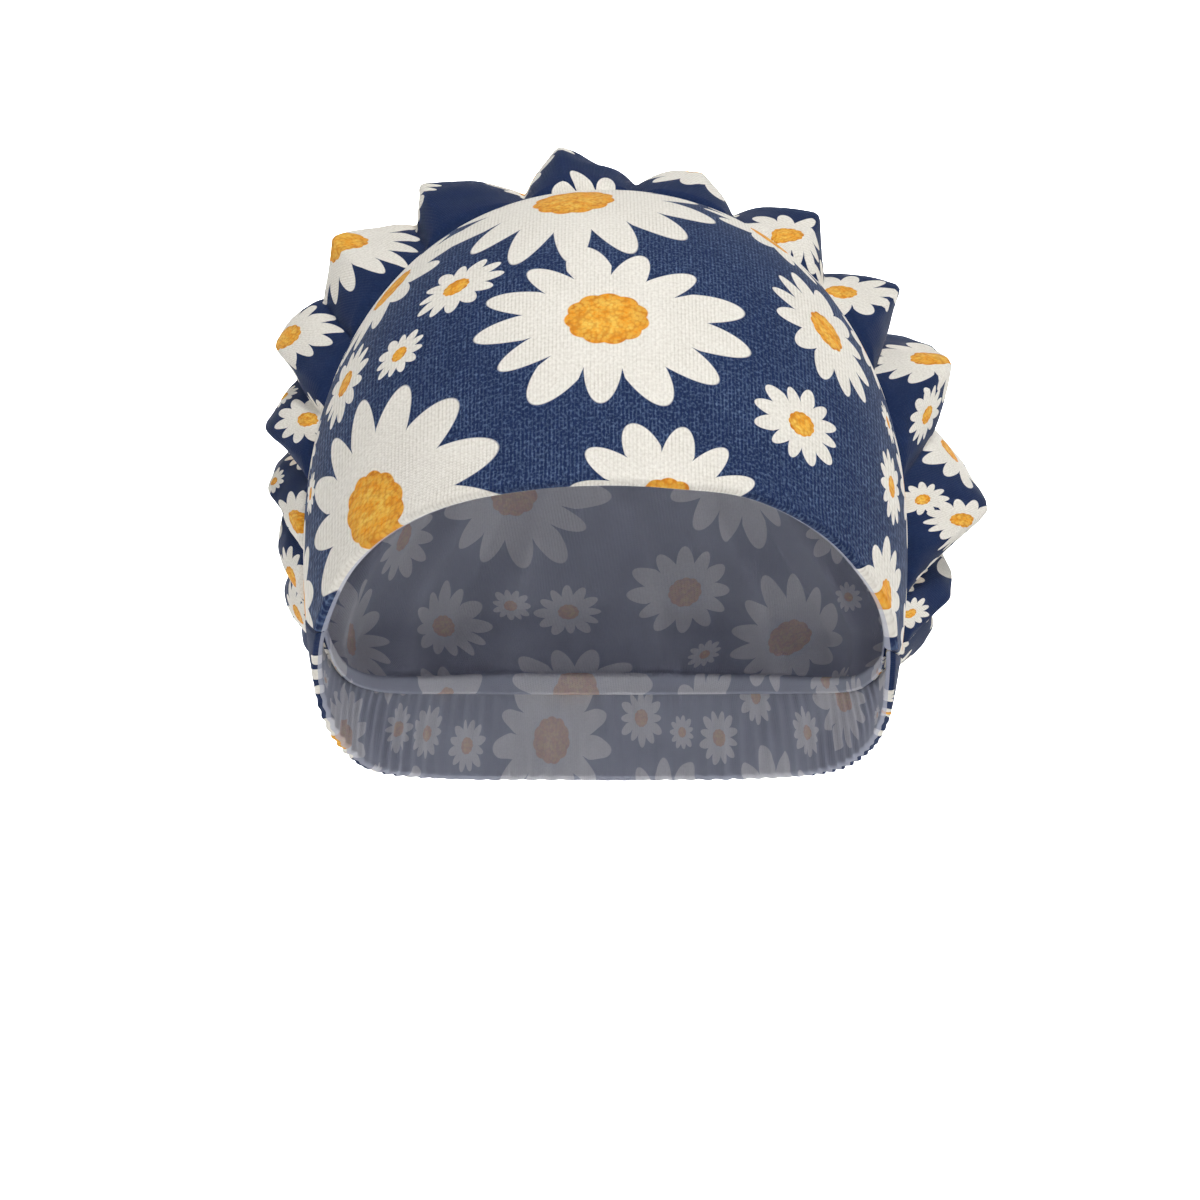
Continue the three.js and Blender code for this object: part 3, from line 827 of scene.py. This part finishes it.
def crown_spot(clock, behind):
    """Place on the flat cloth of a point of the crown by its clock and distance behind the seam."""
    clocks, behinds, places = CROWN_CHART
    line = np.interp(clock, clocks, np.arange(len(clocks)))
    low = min(int(line), len(clocks) - 2)
    ends = [[np.interp(behind, behinds[k], places[k, :, axis]) for axis in (0, 1)] for k in (low, low + 1)]
    spot = np.array(ends[0]) * (low + 1 - line) + np.array(ends[1]) * (line - low)
    return spot * (1 - min(behind, 0) / np.linalg.norm(spot))


def flat_flowers(charted, spots):
    """Flowers on flat cloth: charted ones, and smaller ones at the first of the spots that fit."""
    flowers = Flowers()
    east, north = np.array([1.0, 0, 0]), np.array([0, 1.0, 0])
    for x, y, size, petals, roll in charted:
        flowers.add((x, y, 0), east * size * MM, north * size * MM, petals, roll)
    return toss(flowers, spots, lambda spot: (east, north))


def on_plane(flat):
    """Flat places as points with no height."""
    return np.concatenate([flat, np.zeros((len(flat), 1))], 1)


def crown_flowers():
    """The charted flowers behind the band, and tossed ones over the rest of the crown."""
    charted = []
    for clock, behind, *rest in zip(*CROWN_FLOWERS.values()):
        charted.append((*crown_spot(clock, behind * MM), *rest))
    chance = np.random.default_rng(seed=5)
    spots = chance.uniform(-CROWN_REACH, CROWN_REACH, (TRIES, 3)) * (1, 1, 0)
    seam = CROWN_CHART[2][:, 0]
    turns = np.unwrap(np.arctan2(seam[:, 1], seam[:, 0]))
    order = np.argsort(turns)
    turn = (np.arctan2(spots[:, 1], spots[:, 0]) - turns[order[0]]) % math.tau + turns[order[0]]
    rim = np.interp(turn, turns[order], np.linalg.norm(seam, axis=1)[order], right=0.0)
    plain = np.linalg.norm(spots, axis=1) > rim - CROWN_PLAIN
    return flat_flowers(charted, spots[~(plain & (rim > 0))])


crown_print = crown_flowers()
crown_print.lay(crown_bag, on_plane(crown_flat))
nape_spots = np.random.default_rng(seed=12).uniform(-0.5, 0.5, (TRIES, 3)) * NAPE_STRIP
nape_print = flat_flowers(NAPE_FLOWERS, nape_spots[np.abs(nape_spots[:, 0]) < NAPE_TOSSED])
nape_print.lay(nape_casing, on_plane(nape_flat - nape_flat.mean(0)))
print("flowers on the crown", len(crown_print.centres), "and the casing", len(nape_print.centres))

# %% [markdown]
# ## Nodes
# A material is a tree of nodes. One small function adds a node, with its settings and with
# values or links for its inputs, and gives back its outputs.

# %% One function for nodes, and colours
MATH = "ShaderNodeMath"


def add(tree, kind, inputs=None, **settings):
    """Adds a node to a tree and gives back its outputs. Inputs are values, or sockets to link."""
    made = tree.nodes.new(kind)
    for name, value in settings.items():
        setattr(made, name, value)
    for key, value in (inputs or {}).items():
        if isinstance(value, bpy.types.NodeSocket):
            tree.links.new(value, made.inputs[key])
        else:
            made.inputs[key].default_value = value
    return made.outputs


def colour(code):
    """An sRGB hex colour as linear red, green, blue and alpha."""
    parts = [int(code[k:k + 2], 16) / 255 for k in (1, 3, 5)]
    return (*[p / 12.92 if p <= 0.04045 else ((p + 0.055) / 1.055) ** 2.4 for p in parts], 1.0)


def group_tree(name, inputs, outputs):
    """A shader node group with named inputs and outputs, and the outputs of its input node."""
    tree = bpy.data.node_groups.new(name, "ShaderNodeTree")
    for label, kind in inputs.items():
        tree.interface.new_socket(label, in_out="INPUT", socket_type="NodeSocket" + kind)
    for label, kind in outputs.items():
        tree.interface.new_socket(label, in_out="OUTPUT", socket_type="NodeSocket" + kind)
    return tree, add(tree, "NodeGroupInput")


print("mid grey as linear", round(colour("#808080")[0], 4))

# %% [markdown]
# ## One daisy as a formula
# The flower's place comes in as a vector that is 1 long at its rim. The angle, times the number
# of petals, says which petal a point is in, and a white noise of that number makes each petal a
# little longer or shorter. A petal is an oval that widens away from the middle, so neighbours
# touch near their roots and part in a narrow wedge. The middle is a scalloped disc.

# %% The daisy
PETAL_HALF_LENGTH = 0.39
PETAL_PLUMPNESS = 1.12
PETAL_VARIETY = 0.16
PETAL_ROOTS = 0.49
PRINT_EDGE = 0.035
HEART_SIZE = 0.268
HEART_SCALLOPS = 11
SCALLOP_DEPTH = 0.022
SEED_STRIDE = 31.0


def daisy_group():
    """Node group that gives 1 inside the petals, 1 inside the heart, and the distance from the
    middle of a daisy."""
    tree, given = group_tree("daisy", {"Place": "Vector", "Kind": "Vector"},
                             {"Petals": "Float", "Heart": "Float", "Reach": "Float"})
    place = add(tree, "ShaderNodeSeparateXYZ", {0: given["Place"]})
    kind = add(tree, "ShaderNodeSeparateXYZ", {0: given["Kind"]})
    reach = add(tree, "ShaderNodeVectorMath", {0: given["Place"]}, operation="LENGTH")["Value"]
    angle = add(tree, MATH, {0: place["Y"], 1: place["X"]}, operation="ARCTAN2")[0]
    turns = add(tree, MATH, {0: angle, 1: 1 / math.tau, 2: 1.0}, operation="MULTIPLY_ADD")[0]
    sector = add(tree, MATH, {0: turns, 1: kind["X"]}, operation="MULTIPLY")[0]
    number = add(tree, MATH, {0: sector}, operation="FLOOR")[0]
    own = add(tree, MATH, {0: number, 1: kind["X"]}, operation="MODULO")[0]
    salt = add(tree, MATH, {0: kind["Y"], 1: SEED_STRIDE, 2: own}, operation="MULTIPLY_ADD")[0]
    chance = add(tree, "ShaderNodeTexWhiteNoise", {"W": salt}, noise_dimensions="1D")["Value"]
    petal = add(tree, MATH, {0: sector, 1: number}, operation="SUBTRACT")[0]
    petal = add(tree, MATH, {0: petal, 1: 0.5}, operation="SUBTRACT")[0]
    slice_ = add(tree, MATH, {0: math.tau, 1: kind["X"]}, operation="DIVIDE")[0]
    off = add(tree, MATH, {0: petal, 1: slice_}, operation="MULTIPLY")[0]
    cosine = add(tree, MATH, {0: off}, operation="COSINE")[0]
    sine = add(tree, MATH, {0: off}, operation="SINE")[0]
    along = add(tree, MATH, {0: reach, 1: cosine}, operation="MULTIPLY")[0]
    beside = add(tree, MATH, {0: reach, 1: sine}, operation="MULTIPLY")[0]
    tip = add(tree, MATH, {0: chance, 1: PETAL_VARIETY, 2: 1 - PETAL_VARIETY}, operation="MULTIPLY_ADD")[0]
    middle = add(tree, MATH, {0: tip, 1: PETAL_HALF_LENGTH}, operation="SUBTRACT")[0]
    half_slice = add(tree, MATH, {0: slice_, 1: 0.5}, operation="MULTIPLY")[0]
    spread = add(tree, MATH, {0: half_slice}, operation="TANGENT")[0]
    plump = add(tree, MATH, {0: spread, 1: PETAL_PLUMPNESS}, operation="MULTIPLY")[0]
    width = add(tree, MATH, {0: plump, 1: middle}, operation="MULTIPLY")[0]
    along = add(tree, MATH, {0: along, 1: middle}, operation="SUBTRACT")[0]
    along = add(tree, MATH, {0: along, 1: PETAL_HALF_LENGTH}, operation="DIVIDE")[0]
    along = add(tree, MATH, {0: along, 1: along}, operation="MULTIPLY")[0]
    beside = add(tree, MATH, {0: beside, 1: width}, operation="DIVIDE")[0]
    oval = add(tree, MATH, {0: beside, 1: beside, 2: along}, operation="MULTIPLY_ADD")[0]
    leaf = add(tree, "ShaderNodeMapRange",
               {"Value": oval, "From Min": 1 + PRINT_EDGE, "From Max": 1 - PRINT_EDGE})[0]
    edge = PRINT_EDGE / 2
    roots = add(tree, "ShaderNodeMapRange",
                {"Value": reach, "From Min": PETAL_ROOTS + edge, "From Max": PETAL_ROOTS - edge})[0]
    petals = add(tree, MATH, {0: leaf, 1: roots}, operation="MAXIMUM")[0]
    lobe = add(tree, MATH, {0: angle, 1: HEART_SCALLOPS / 2}, operation="MULTIPLY")[0]
    lobe = add(tree, MATH, {0: lobe}, operation="SINE")[0]
    lobe = add(tree, MATH, {0: lobe}, operation="ABSOLUTE")[0]
    rim = add(tree, MATH, {0: lobe, 1: SCALLOP_DEPTH, 2: HEART_SIZE}, operation="MULTIPLY_ADD")[0]
    inside = add(tree, MATH, {0: rim, 1: reach}, operation="SUBTRACT")[0]
    heart = add(tree, "ShaderNodeMapRange",
                {"Value": inside, "From Min": -edge / 4, "From Max": edge / 4})[0]
    add(tree, "NodeGroupOutput", {"Petals": petals, "Heart": heart, "Reach": reach})
    return tree


DAISY = daisy_group()
print("daisy nodes", len(DAISY.nodes))

# %% [markdown]
# ## The knit
# Single jersey shows upright ribs, its wales, of small V-shaped stitches. The yarn is white and
# only its face is printed, so where the cloth is stretched the white grins through between the
# stitches and the navy looks heathered. The photograph shows the wales of this cotton and
# elastane jersey about 0.85 mm apart, which is coarse enough for the render to show as well.

# %% The knit as height and as a mask
WALE_SPACING = 0.85 * MM
COURSE_SPACING = 0.7 * MM
STITCH_SLANT = 0.6
LOOP_RELIEF = 0.25
GAP_START = 0.45


def knit_group():
    """Node group that gives the knit's height, the gaps between wales and each stitch's chance."""
    tree, given = group_tree("jersey knit", {"Cloth": "Vector"},
                             {"Height": "Float", "Gap": "Float", "Chance": "Float"})
    cloth = add(tree, "ShaderNodeSeparateXYZ", {0: given["Cloth"]})
    wale = add(tree, MATH, {0: cloth["X"], 1: WALE_SPACING}, operation="DIVIDE")[0]
    within = add(tree, MATH, {0: wale}, operation="FRACT")[0]
    within = add(tree, MATH, {0: within, 1: 2.0, 2: -1.0}, operation="MULTIPLY_ADD")[0]
    leg = add(tree, MATH, {0: within}, operation="ABSOLUTE")[0]
    course = add(tree, MATH, {0: cloth["Y"], 1: COURSE_SPACING}, operation="DIVIDE")[0]
    course = add(tree, MATH, {0: leg, 1: STITCH_SLANT, 2: course}, operation="MULTIPLY_ADD")[0]
    loop = add(tree, MATH, {0: course, 1: math.tau}, operation="MULTIPLY")[0]
    loop = add(tree, MATH, {0: loop}, operation="SINE")[0]
    rib = add(tree, MATH, {0: leg, 1: leg}, operation="MULTIPLY")[0]
    rib = add(tree, MATH, {0: 1.0, 1: rib}, operation="SUBTRACT")[0]
    height = add(tree, MATH, {0: loop, 1: LOOP_RELIEF, 2: rib}, operation="MULTIPLY_ADD")[0]
    gap = add(tree, "ShaderNodeMapRange", {"Value": leg, "From Min": GAP_START, "From Max": 1.0})[0]
    across = add(tree, MATH, {0: wale}, operation="FLOOR")[0]
    down = add(tree, MATH, {0: course}, operation="FLOOR")[0]
    stitch = add(tree, "ShaderNodeCombineXYZ", {0: across, 1: down})[0]
    chance = add(tree, "ShaderNodeTexWhiteNoise", {"Vector": stitch}, noise_dimensions="2D")["Value"]
    add(tree, "NodeGroupOutput", {"Height": height, "Gap": gap, "Chance": chance})
    return tree


KNIT = knit_group()
print("knit nodes", len(KNIT.nodes))

# %% [markdown]
# ## Printed jersey
# Cotton and elastane single jersey with a reactive print: matt, with a faint bloom of fibres at
# grazing angles. The same cloth makes all three pieces. Its wrong side was never printed, and
# the pattern only shows through it, so inside the crown the colours are pale. A photograph of
# the cloth could be its texture. Nodes stay sharp close up, and can follow how far the cloth is
# stretched. The sizes below are those of one grain of each noise.

# %% Petals and hearts of a face's two flowers
MIX = "ShaderNodeMix"


def flower_masks(tree):
    """How far a point is inside a petal and a heart, and its distance from the nearer middle."""
    petals, heart, reach = 0.0, 0.0, 1.0
    for name in FLOWER_MAPS:
        place = add(tree, "ShaderNodeUVMap", uv_map=name)[0]
        kind = add(tree, "ShaderNodeAttribute", attribute_name=name + "_kind")["Vector"]
        daisy = add(tree, "ShaderNodeGroup", {"Place": place, "Kind": kind}, node_tree=DAISY)
        petals = add(tree, MATH, {0: petals, 1: daisy["Petals"]}, operation="MAXIMUM")[0]
        heart = add(tree, MATH, {0: heart, 1: daisy["Heart"]}, operation="MAXIMUM")[0]
        reach = add(tree, MATH, {0: reach, 1: daisy["Reach"]}, operation="MINIMUM")[0]
    return petals, heart, reach


print("two flowers to a face, from", *FLOWER_MAPS)


# %% Navy ground and white petals
NAVY = "#162950"
NAVY_GRIN = "#788fb4"
PETAL_WHITE = "#f7f3ea"
# Petal colour for painted shade in the gaps between wales, and for the fibres' random grain.
PETAL_GAP_SHADE_AND_GRAIN = "#d2ccc0"
FIBRE_SIZE = MM / 1.4
DRIFT_SIZE = MM / 0.07


def ground_and_petals(tree, cloth, knit):
    """Colours of the heathered ground, of the petals with painted shade in the gaps between wales, and the
    noise and grain of the fibres.
    """
    fibre = add(tree, "ShaderNodeTexNoise", {"Vector": cloth, "Scale": 1 / FIBRE_SIZE, "Detail": 2.0})[0]
    grain = add(tree, "ShaderNodeMapRange", {"Value": fibre, "From Min": 0.35, "From Max": 0.7})[0]
    speck = add(tree, "ShaderNodeMapRange",
                {"Value": fibre, "From Min": 0.48, "From Max": 0.72, "To Max": 0.4})[0]
    drift = add(tree, "ShaderNodeTexNoise", {"Vector": cloth, "Scale": 1 / DRIFT_SIZE, "Detail": 2.0})[0]
    drift = add(tree, "ShaderNodeMapRange",
                {"Value": drift, "From Min": 0.38, "From Max": 0.62, "To Min": 0.35})[0]
    line = add(tree, MATH, {0: knit["Gap"], 1: drift}, operation="MULTIPLY")[0]
    grin = add(tree, MATH, {0: line, 1: knit["Chance"]}, operation="MULTIPLY")[0]
    grin = add(tree, MATH, {0: grin, 1: 0.5, 2: speck}, operation="MULTIPLY_ADD")[0]
    stretched = add(tree, "ShaderNodeAttribute", attribute_name="stretched")["Fac"]
    grin = add(tree, MATH, {0: grin, 1: stretched}, operation="MULTIPLY")[0]
    ground = add(tree, MIX, {0: grin, 6: colour(NAVY), 7: colour(NAVY_GRIN)}, data_type="RGBA")[2]
    # Painted shade: the petals darken along the gaps between wales, and also with the fibres' random grain.
    shade = add(tree, MATH, {0: grain, 1: 0.5}, operation="MULTIPLY")[0]
    shade = add(tree, MATH, {0: line, 1: 0.5, 2: shade}, operation="MULTIPLY_ADD")[0]
    white = add(tree, MIX, {0: shade, 6: colour(PETAL_WHITE), 7: colour(PETAL_GAP_SHADE_AND_GRAIN)}, data_type="RGBA")[2]
    return ground, white, fibre, grain


print("navy as linear", [round(x, 3) for x in colour(NAVY)])


# %% Orange hearts
HEART_ORANGE = "#ef9820"
HEART_YELLOW = "#fbd25e"
HEART_BROWN = "#cf7a1c"
PATCH_SIZE = MM / 0.33
FLORET_SIZE = MM / 1.1


def heart_colour(tree, cloth, grain, reach):
    """Colour of the hearts: orange and yellow in patches, with brown florets and a brown rim."""
    patch = add(tree, "ShaderNodeTexNoise", {"Vector": cloth, "Scale": 1 / PATCH_SIZE, "Detail": 3.0})[0]
    tone = add(tree, "ShaderNodeMapRange",
               {"Value": patch, "From Min": 0.38, "From Max": 0.62, "To Max": 0.6})[0]
    tone = add(tree, MATH, {0: grain, 1: 0.5, 2: tone}, operation="MULTIPLY_ADD")[0]
    ends = {6: colour(HEART_ORANGE), 7: colour(HEART_YELLOW)}
    orange = add(tree, MIX, {0: tone, **ends}, data_type="RGBA")[2]
    floret = add(tree, "ShaderNodeTexVoronoi", {"Vector": cloth, "Scale": 1 / FLORET_SIZE})[0]
    dots = add(tree, "ShaderNodeMapRange",
               {"Value": floret, "From Min": 0.4, "From Max": 0.8, "To Max": 0.6})[0]
    rim = add(tree, "ShaderNodeMapRange",
              {"Value": reach, "From Min": HEART_SIZE * 0.6, "From Max": HEART_SIZE, "To Max": 0.55})[0]
    rim = add(tree, MATH, {0: rim, 1: tone, 2: dots}, operation="MULTIPLY_ADD")[0]
    return add(tree, MIX, {0: rim, 6: orange, 7: colour(HEART_BROWN)}, data_type="RGBA")[2]


print("heart patches of", round(PATCH_SIZE, 4), "m and florets of", round(FLORET_SIZE, 4), "m")


# %% Printed jersey
WRONG_SIDE = "#b9bccb"
SHOW_THROUGH = 0.3
KNIT_RELIEF = 0.12 * MM


def printed_jersey():
    """Material for every piece of the cap, from its cloth and flower UV maps."""
    material = bpy.data.materials.new("printed_cotton_jersey")
    material.use_nodes = True
    tree = material.node_tree
    tree.nodes.clear()
    cloth = add(tree, "ShaderNodeUVMap", uv_map="cloth")[0]
    knit = add(tree, "ShaderNodeGroup", {"Cloth": cloth}, node_tree=KNIT)
    petals, heart, reach = flower_masks(tree)
    ground, white, fibre, grain = ground_and_petals(tree, cloth, knit)
    orange = heart_colour(tree, cloth, grain, reach)
    print_ = add(tree, MIX, {0: petals, 6: ground, 7: white}, data_type="RGBA")[2]
    print_ = add(tree, MIX, {0: heart, 6: print_, 7: orange}, data_type="RGBA")[2]
    side = add(tree, "ShaderNodeAttribute", attribute_name="right_side")["Fac"]
    shown = add(tree, MATH, {0: side, 1: 1 - SHOW_THROUGH, 2: SHOW_THROUGH}, operation="MULTIPLY_ADD")[0]
    face = add(tree, MIX, {0: shown, 6: colour(WRONG_SIDE), 7: print_}, data_type="RGBA")[2]
    relief = add(tree, MATH, {0: fibre, 1: 0.5, 2: knit["Height"]}, operation="MULTIPLY_ADD")[0]
    bump = add(tree, "ShaderNodeBump", {"Height": relief, "Strength": 0.55, "Distance": KNIT_RELIEF})[0]
    surface = add(tree, "ShaderNodeBsdfPrincipled", {
        "Base Color": face, "Normal": bump, "Roughness": 0.85, "Specular IOR Level": 0.2,
        "Sheen Weight": 0.06, "Sheen Roughness": 0.4,
    })[0]
    add(tree, "ShaderNodeOutputMaterial", {"Surface": surface})
    return material


JERSEY = printed_jersey()
for piece in (band_panel, crown_bag, nape_casing):
    piece.data.materials.append(JERSEY)
print("jersey nodes", len(JERSEY.node_tree.nodes))

# %% [markdown]
# ## Stitches
# A pale polyester thread shows as short stitches in the groove behind the band and in a row along
# the casing. A bump map could draw them, but they stand up from the cloth. So Geometry Nodes put
# one small spindle of thread at each even step along a line, turned along it and outward.

# %% Thread
STITCH_COLOUR = "#d6d3cb"
TWIST_SIZE = MM / 3


def polyester_thread():
    """Spun polyester sewing thread: off-white, with a soft gloss and a fine twist."""
    material = bpy.data.materials.new("spun_polyester_thread")
    material.use_nodes = True
    tree = material.node_tree
    tree.nodes.clear()
    place = add(tree, "ShaderNodeTexCoord")["Object"]
    twist = add(tree, "ShaderNodeTexNoise", {"Vector": place, "Scale": 1 / TWIST_SIZE, "Detail": 1.0})[0]
    bump = add(tree, "ShaderNodeBump", {"Height": twist, "Strength": 0.4, "Distance": 0.05 * MM})[0]
    surface = add(tree, "ShaderNodeBsdfPrincipled",
                  {"Base Color": colour(STITCH_COLOUR), "Roughness": 0.5, "Normal": bump})[0]
    add(tree, "ShaderNodeOutputMaterial", {"Surface": surface})
    return material


THREAD = polyester_thread()
print("thread nodes", len(THREAD.node_tree.nodes))


# %% Stitch tree
SMALLEST_STITCH = 0.88
LARGEST_STITCH = 1.08


def stitch_tree():
    """Geometry node tree that lays stitches along a mesh line with an attribute called outward."""
    tree = bpy.data.node_groups.new("stitches", "GeometryNodeTree")
    sockets = {"Line": "Geometry", "Spacing": "Float", "Length": "Float", "Thickness": "Float",
               "Seed": "Int", "Thread": "Material"}
    for label, kind in sockets.items():
        tree.interface.new_socket(label, in_out="INPUT", socket_type="NodeSocket" + kind)
    tree.interface.new_socket("Stitches", in_out="OUTPUT", socket_type="NodeSocketGeometry")
    given = add(tree, "NodeGroupInput")
    line = add(tree, "GeometryNodeMeshToCurve", {0: given["Line"]})[0]
    steps = add(tree, "GeometryNodeResampleCurve", {"Curve": line, "Length": given["Spacing"]},
                mode="LENGTH")[0]
    outward = add(tree, "GeometryNodeInputNamedAttribute", {"Name": "outward"}, data_type="FLOAT_VECTOR")[0]
    tangent = add(tree, "GeometryNodeInputTangent")[0]
    along = add(tree, "FunctionNodeAlignRotationToVector", {"Vector": tangent}, axis="X")[0]
    turned = add(tree, "FunctionNodeAlignRotationToVector", {"Rotation": along, "Vector": outward},
                 axis="Z", pivot_axis="X")[0]
    ball = add(tree, "GeometryNodeMeshUVSphere", {"Segments": 8, "Rings": 6, "Radius": 0.5})["Mesh"]
    thickness = given["Thickness"]
    shape = add(tree, "ShaderNodeCombineXYZ", {0: given["Length"], 1: thickness, 2: thickness})[0]
    spindle = add(tree, "GeometryNodeTransform", {"Geometry": ball, "Scale": shape})[0]
    uneven = add(tree, "FunctionNodeRandomValue",
                 {2: SMALLEST_STITCH, 3: LARGEST_STITCH, "Seed": given["Seed"]}, data_type="FLOAT")[1]
    placed = add(tree, "GeometryNodeInstanceOnPoints",
                 {"Points": steps, "Instance": spindle, "Rotation": turned, "Scale": uneven})[0]
    whole = add(tree, "GeometryNodeRealizeInstances", {0: placed})[0]
    smooth = add(tree, "GeometryNodeSetShadeSmooth", {"Geometry": whole})[0]
    coloured = add(tree, "GeometryNodeSetMaterial", {"Geometry": smooth, "Material": given["Thread"]})[0]
    add(tree, "NodeGroupOutput", {0: coloured})
    return tree


STITCHES = stitch_tree()
print("stitch nodes", len(STITCHES.nodes))

# %% Rows of stitches
STITCH_SPACING = 2.9 * MM
STITCH_LENGTH = 2.3 * MM
THREAD_THICKNESS = 0.42 * MM
GROOVE_DEPTH = 1.5 * MM
GROOVE_PLACE = 0.5 * MM
GROOVE_END = 0.004
GROOVE_POINTS = 300


def stitch_row(name, points, outward, seed):
    """A row of stitches along points, baked to a plain mesh."""
    mesh = bpy.data.meshes.new(name + "_line")
    mesh.from_pydata([tuple(point) for point in points], [(k, k + 1) for k in range(len(points) - 1)], [])
    mesh.attributes.new("outward", "FLOAT_VECTOR", "POINT").data.foreach_set("vector", outward.ravel())
    line = bpy.data.objects.new(name + "_line", mesh)
    bpy.context.scene.collection.objects.link(line)
    modifier = line.modifiers.new("stitches", "NODES")
    modifier.node_group = STITCHES
    values = {"Spacing": STITCH_SPACING, "Length": STITCH_LENGTH, "Thickness": THREAD_THICKNESS,
              "Seed": seed, "Thread": THREAD}
    for item in STITCHES.interface.items_tree:
        if item.name in values:
            modifier[item.identifier] = values[item.name]
    baked = bpy.data.meshes.new_from_object(line.evaluated_get(bpy.context.evaluated_depsgraph_get()))
    baked.name = name
    bpy.data.objects.remove(line)
    row = bpy.data.objects.new(name, baked)
    bpy.context.scene.collection.objects.link(row)
    return row


def groove_line():
    """Points in the groove behind the band, and directions outward."""
    place = np.linspace(GROOVE_END, 1 - GROOVE_END, GROOVE_POINTS)
    start, half = seam_lines(column(BAND_STATIONS, "place", "clock", place))
    length = np.arccos(start @ POLE) * form_radius(start)
    direction = between(start, half, 2 * GROOVE_PLACE / length)
    return point_over(direction, np.full(len(direction), -GROOVE_DEPTH)), direction


seam_stitches = stitch_row("seam_stitches", *groove_line(), seed=4)
casing_stitches = stitch_row("casing_stitches", *TOPSTITCH_LINE, seed=9)
print("stitches", len(seam_stitches.data.polygons), len(casing_stitches.data.polygons), "faces")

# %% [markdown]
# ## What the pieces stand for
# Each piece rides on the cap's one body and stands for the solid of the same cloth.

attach(band_panel, "root")
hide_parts("front_band")
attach(seam_stitches, "root")

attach(crown_bag, "root")
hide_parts("crown")

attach(nape_casing, "root")
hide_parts("nape_band")
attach(casing_stitches, "root")

# %% [markdown]
# ## Studio
# A product photograph on white has no horizon. A wide shallow bowl gives a pale floor that turns
# up softly on every side, so the background is plain from every angle. A strong lamp behind the
# cap lights only the floor there, which comes out pure white while the cap keeps its own
# shading. A soft light stands above the camera, a weaker one beside it, and a faint world fills
# the shade.

# %% Floor
FLOOR_DROP = 0.23
FLOOR_RADIUS = 1.3
BOWL_RADIUS = 3.2
BOWL_RISE = 2.4
BOWL_BEND = 2.5
FLOOR_CORE = 0.3
FLOOR_SIDES = 128
FLOOR_STEPS = 40
PAPER_WHITE = "#f4f4f4"


def make_floor():
    """A round floor whose rim turns up softly."""
    share = np.linspace(0, 1, FLOOR_STEPS + 1)[1:]
    turned_up = FLOOR_RADIUS + (BOWL_RADIUS - FLOOR_RADIUS) * share
    radius = np.concatenate([[FLOOR_RADIUS * FLOOR_CORE, FLOOR_RADIUS], turned_up])
    height = np.concatenate([[0, 0], BOWL_RISE * share**BOWL_BEND]) - FLOOR_DROP
    turn = np.linspace(0, math.tau, FLOOR_SIDES, endpoint=False)
    rings = np.stack(np.broadcast_arrays(radius[:, None] * np.cos(turn), radius[:, None] * np.sin(turn),
                                         height[:, None]), -1)
    points = [(0, 0, -FLOOR_DROP), *map(tuple, rings.reshape(-1, 3))]
    faces = [(0, 1 + k, 1 + (k + 1) % FLOOR_SIDES) for k in range(FLOOR_SIDES)]
    for ring in range(len(radius) - 1):
        for k in range(FLOOR_SIDES):
            a, b = 1 + ring * FLOOR_SIDES + k, 1 + ring * FLOOR_SIDES + (k + 1) % FLOOR_SIDES
            faces.append((a, a + FLOOR_SIDES, b + FLOOR_SIDES, b))
    mesh = bpy.data.meshes.new("studio_floor")
    mesh.from_pydata(points, [], faces)
    mesh.shade_smooth()
    floor = bpy.data.objects.new("studio_floor", mesh)
    bpy.context.scene.collection.objects.link(floor)
    paper = bpy.data.materials.new("white_studio_paper")
    paper.use_nodes = True
    surface = paper.node_tree.nodes["Principled BSDF"]
    surface.inputs["Base Color"].default_value = colour(PAPER_WHITE)
    surface.inputs["Roughness"].default_value = 0.9
    mesh.materials.append(paper)
    return floor


floor = make_floor()
print("floor", len(floor.data.polygons), "faces")

# %% Lights and colours
# Each light's place, the point that it is turned to, its width in metres and its watts.
LIGHTS = {
    "key": ((0.45, -1.0, 1.4), (0, 0, 0), 0.45, 18.0),
    "fill": ((-1.3, -1.0, 0.5), (0, 0, 0), 1.0, 3.0),
    "backdrop": ((0, 1.8, 2.0), (0, 2.4, -0.2), 1.4, 100.0),
}
BACKDROP_SPREAD = math.radians(110)
WORLD_STRENGTH = 0.12


def add_light(name, place, target, size, power):
    """A round area light at a place, turned to a target."""
    light = bpy.data.lights.new(name, "AREA")
    light.shape, light.size, light.energy = "DISK", size, power
    lamp = bpy.data.objects.new(name, light)
    lamp.location = place
    lamp.rotation_euler = (Vector(target) - Vector(place)).to_track_quat("-Z", "Y").to_euler()
    bpy.context.scene.collection.objects.link(lamp)
    return light


lights = {name: add_light(name, *settings) for name, settings in LIGHTS.items()}
lights["backdrop"].spread = BACKDROP_SPREAD

world = bpy.data.worlds.new("studio")
world.use_nodes = True
sky = world.node_tree.nodes["Background"]
sky.inputs["Color"].default_value = (1, 1, 1, 1)
sky.inputs["Strength"].default_value = WORLD_STRENGTH
bpy.context.scene.world = world
bpy.context.scene.view_settings.view_transform = "Standard"
print("lights", *lights)
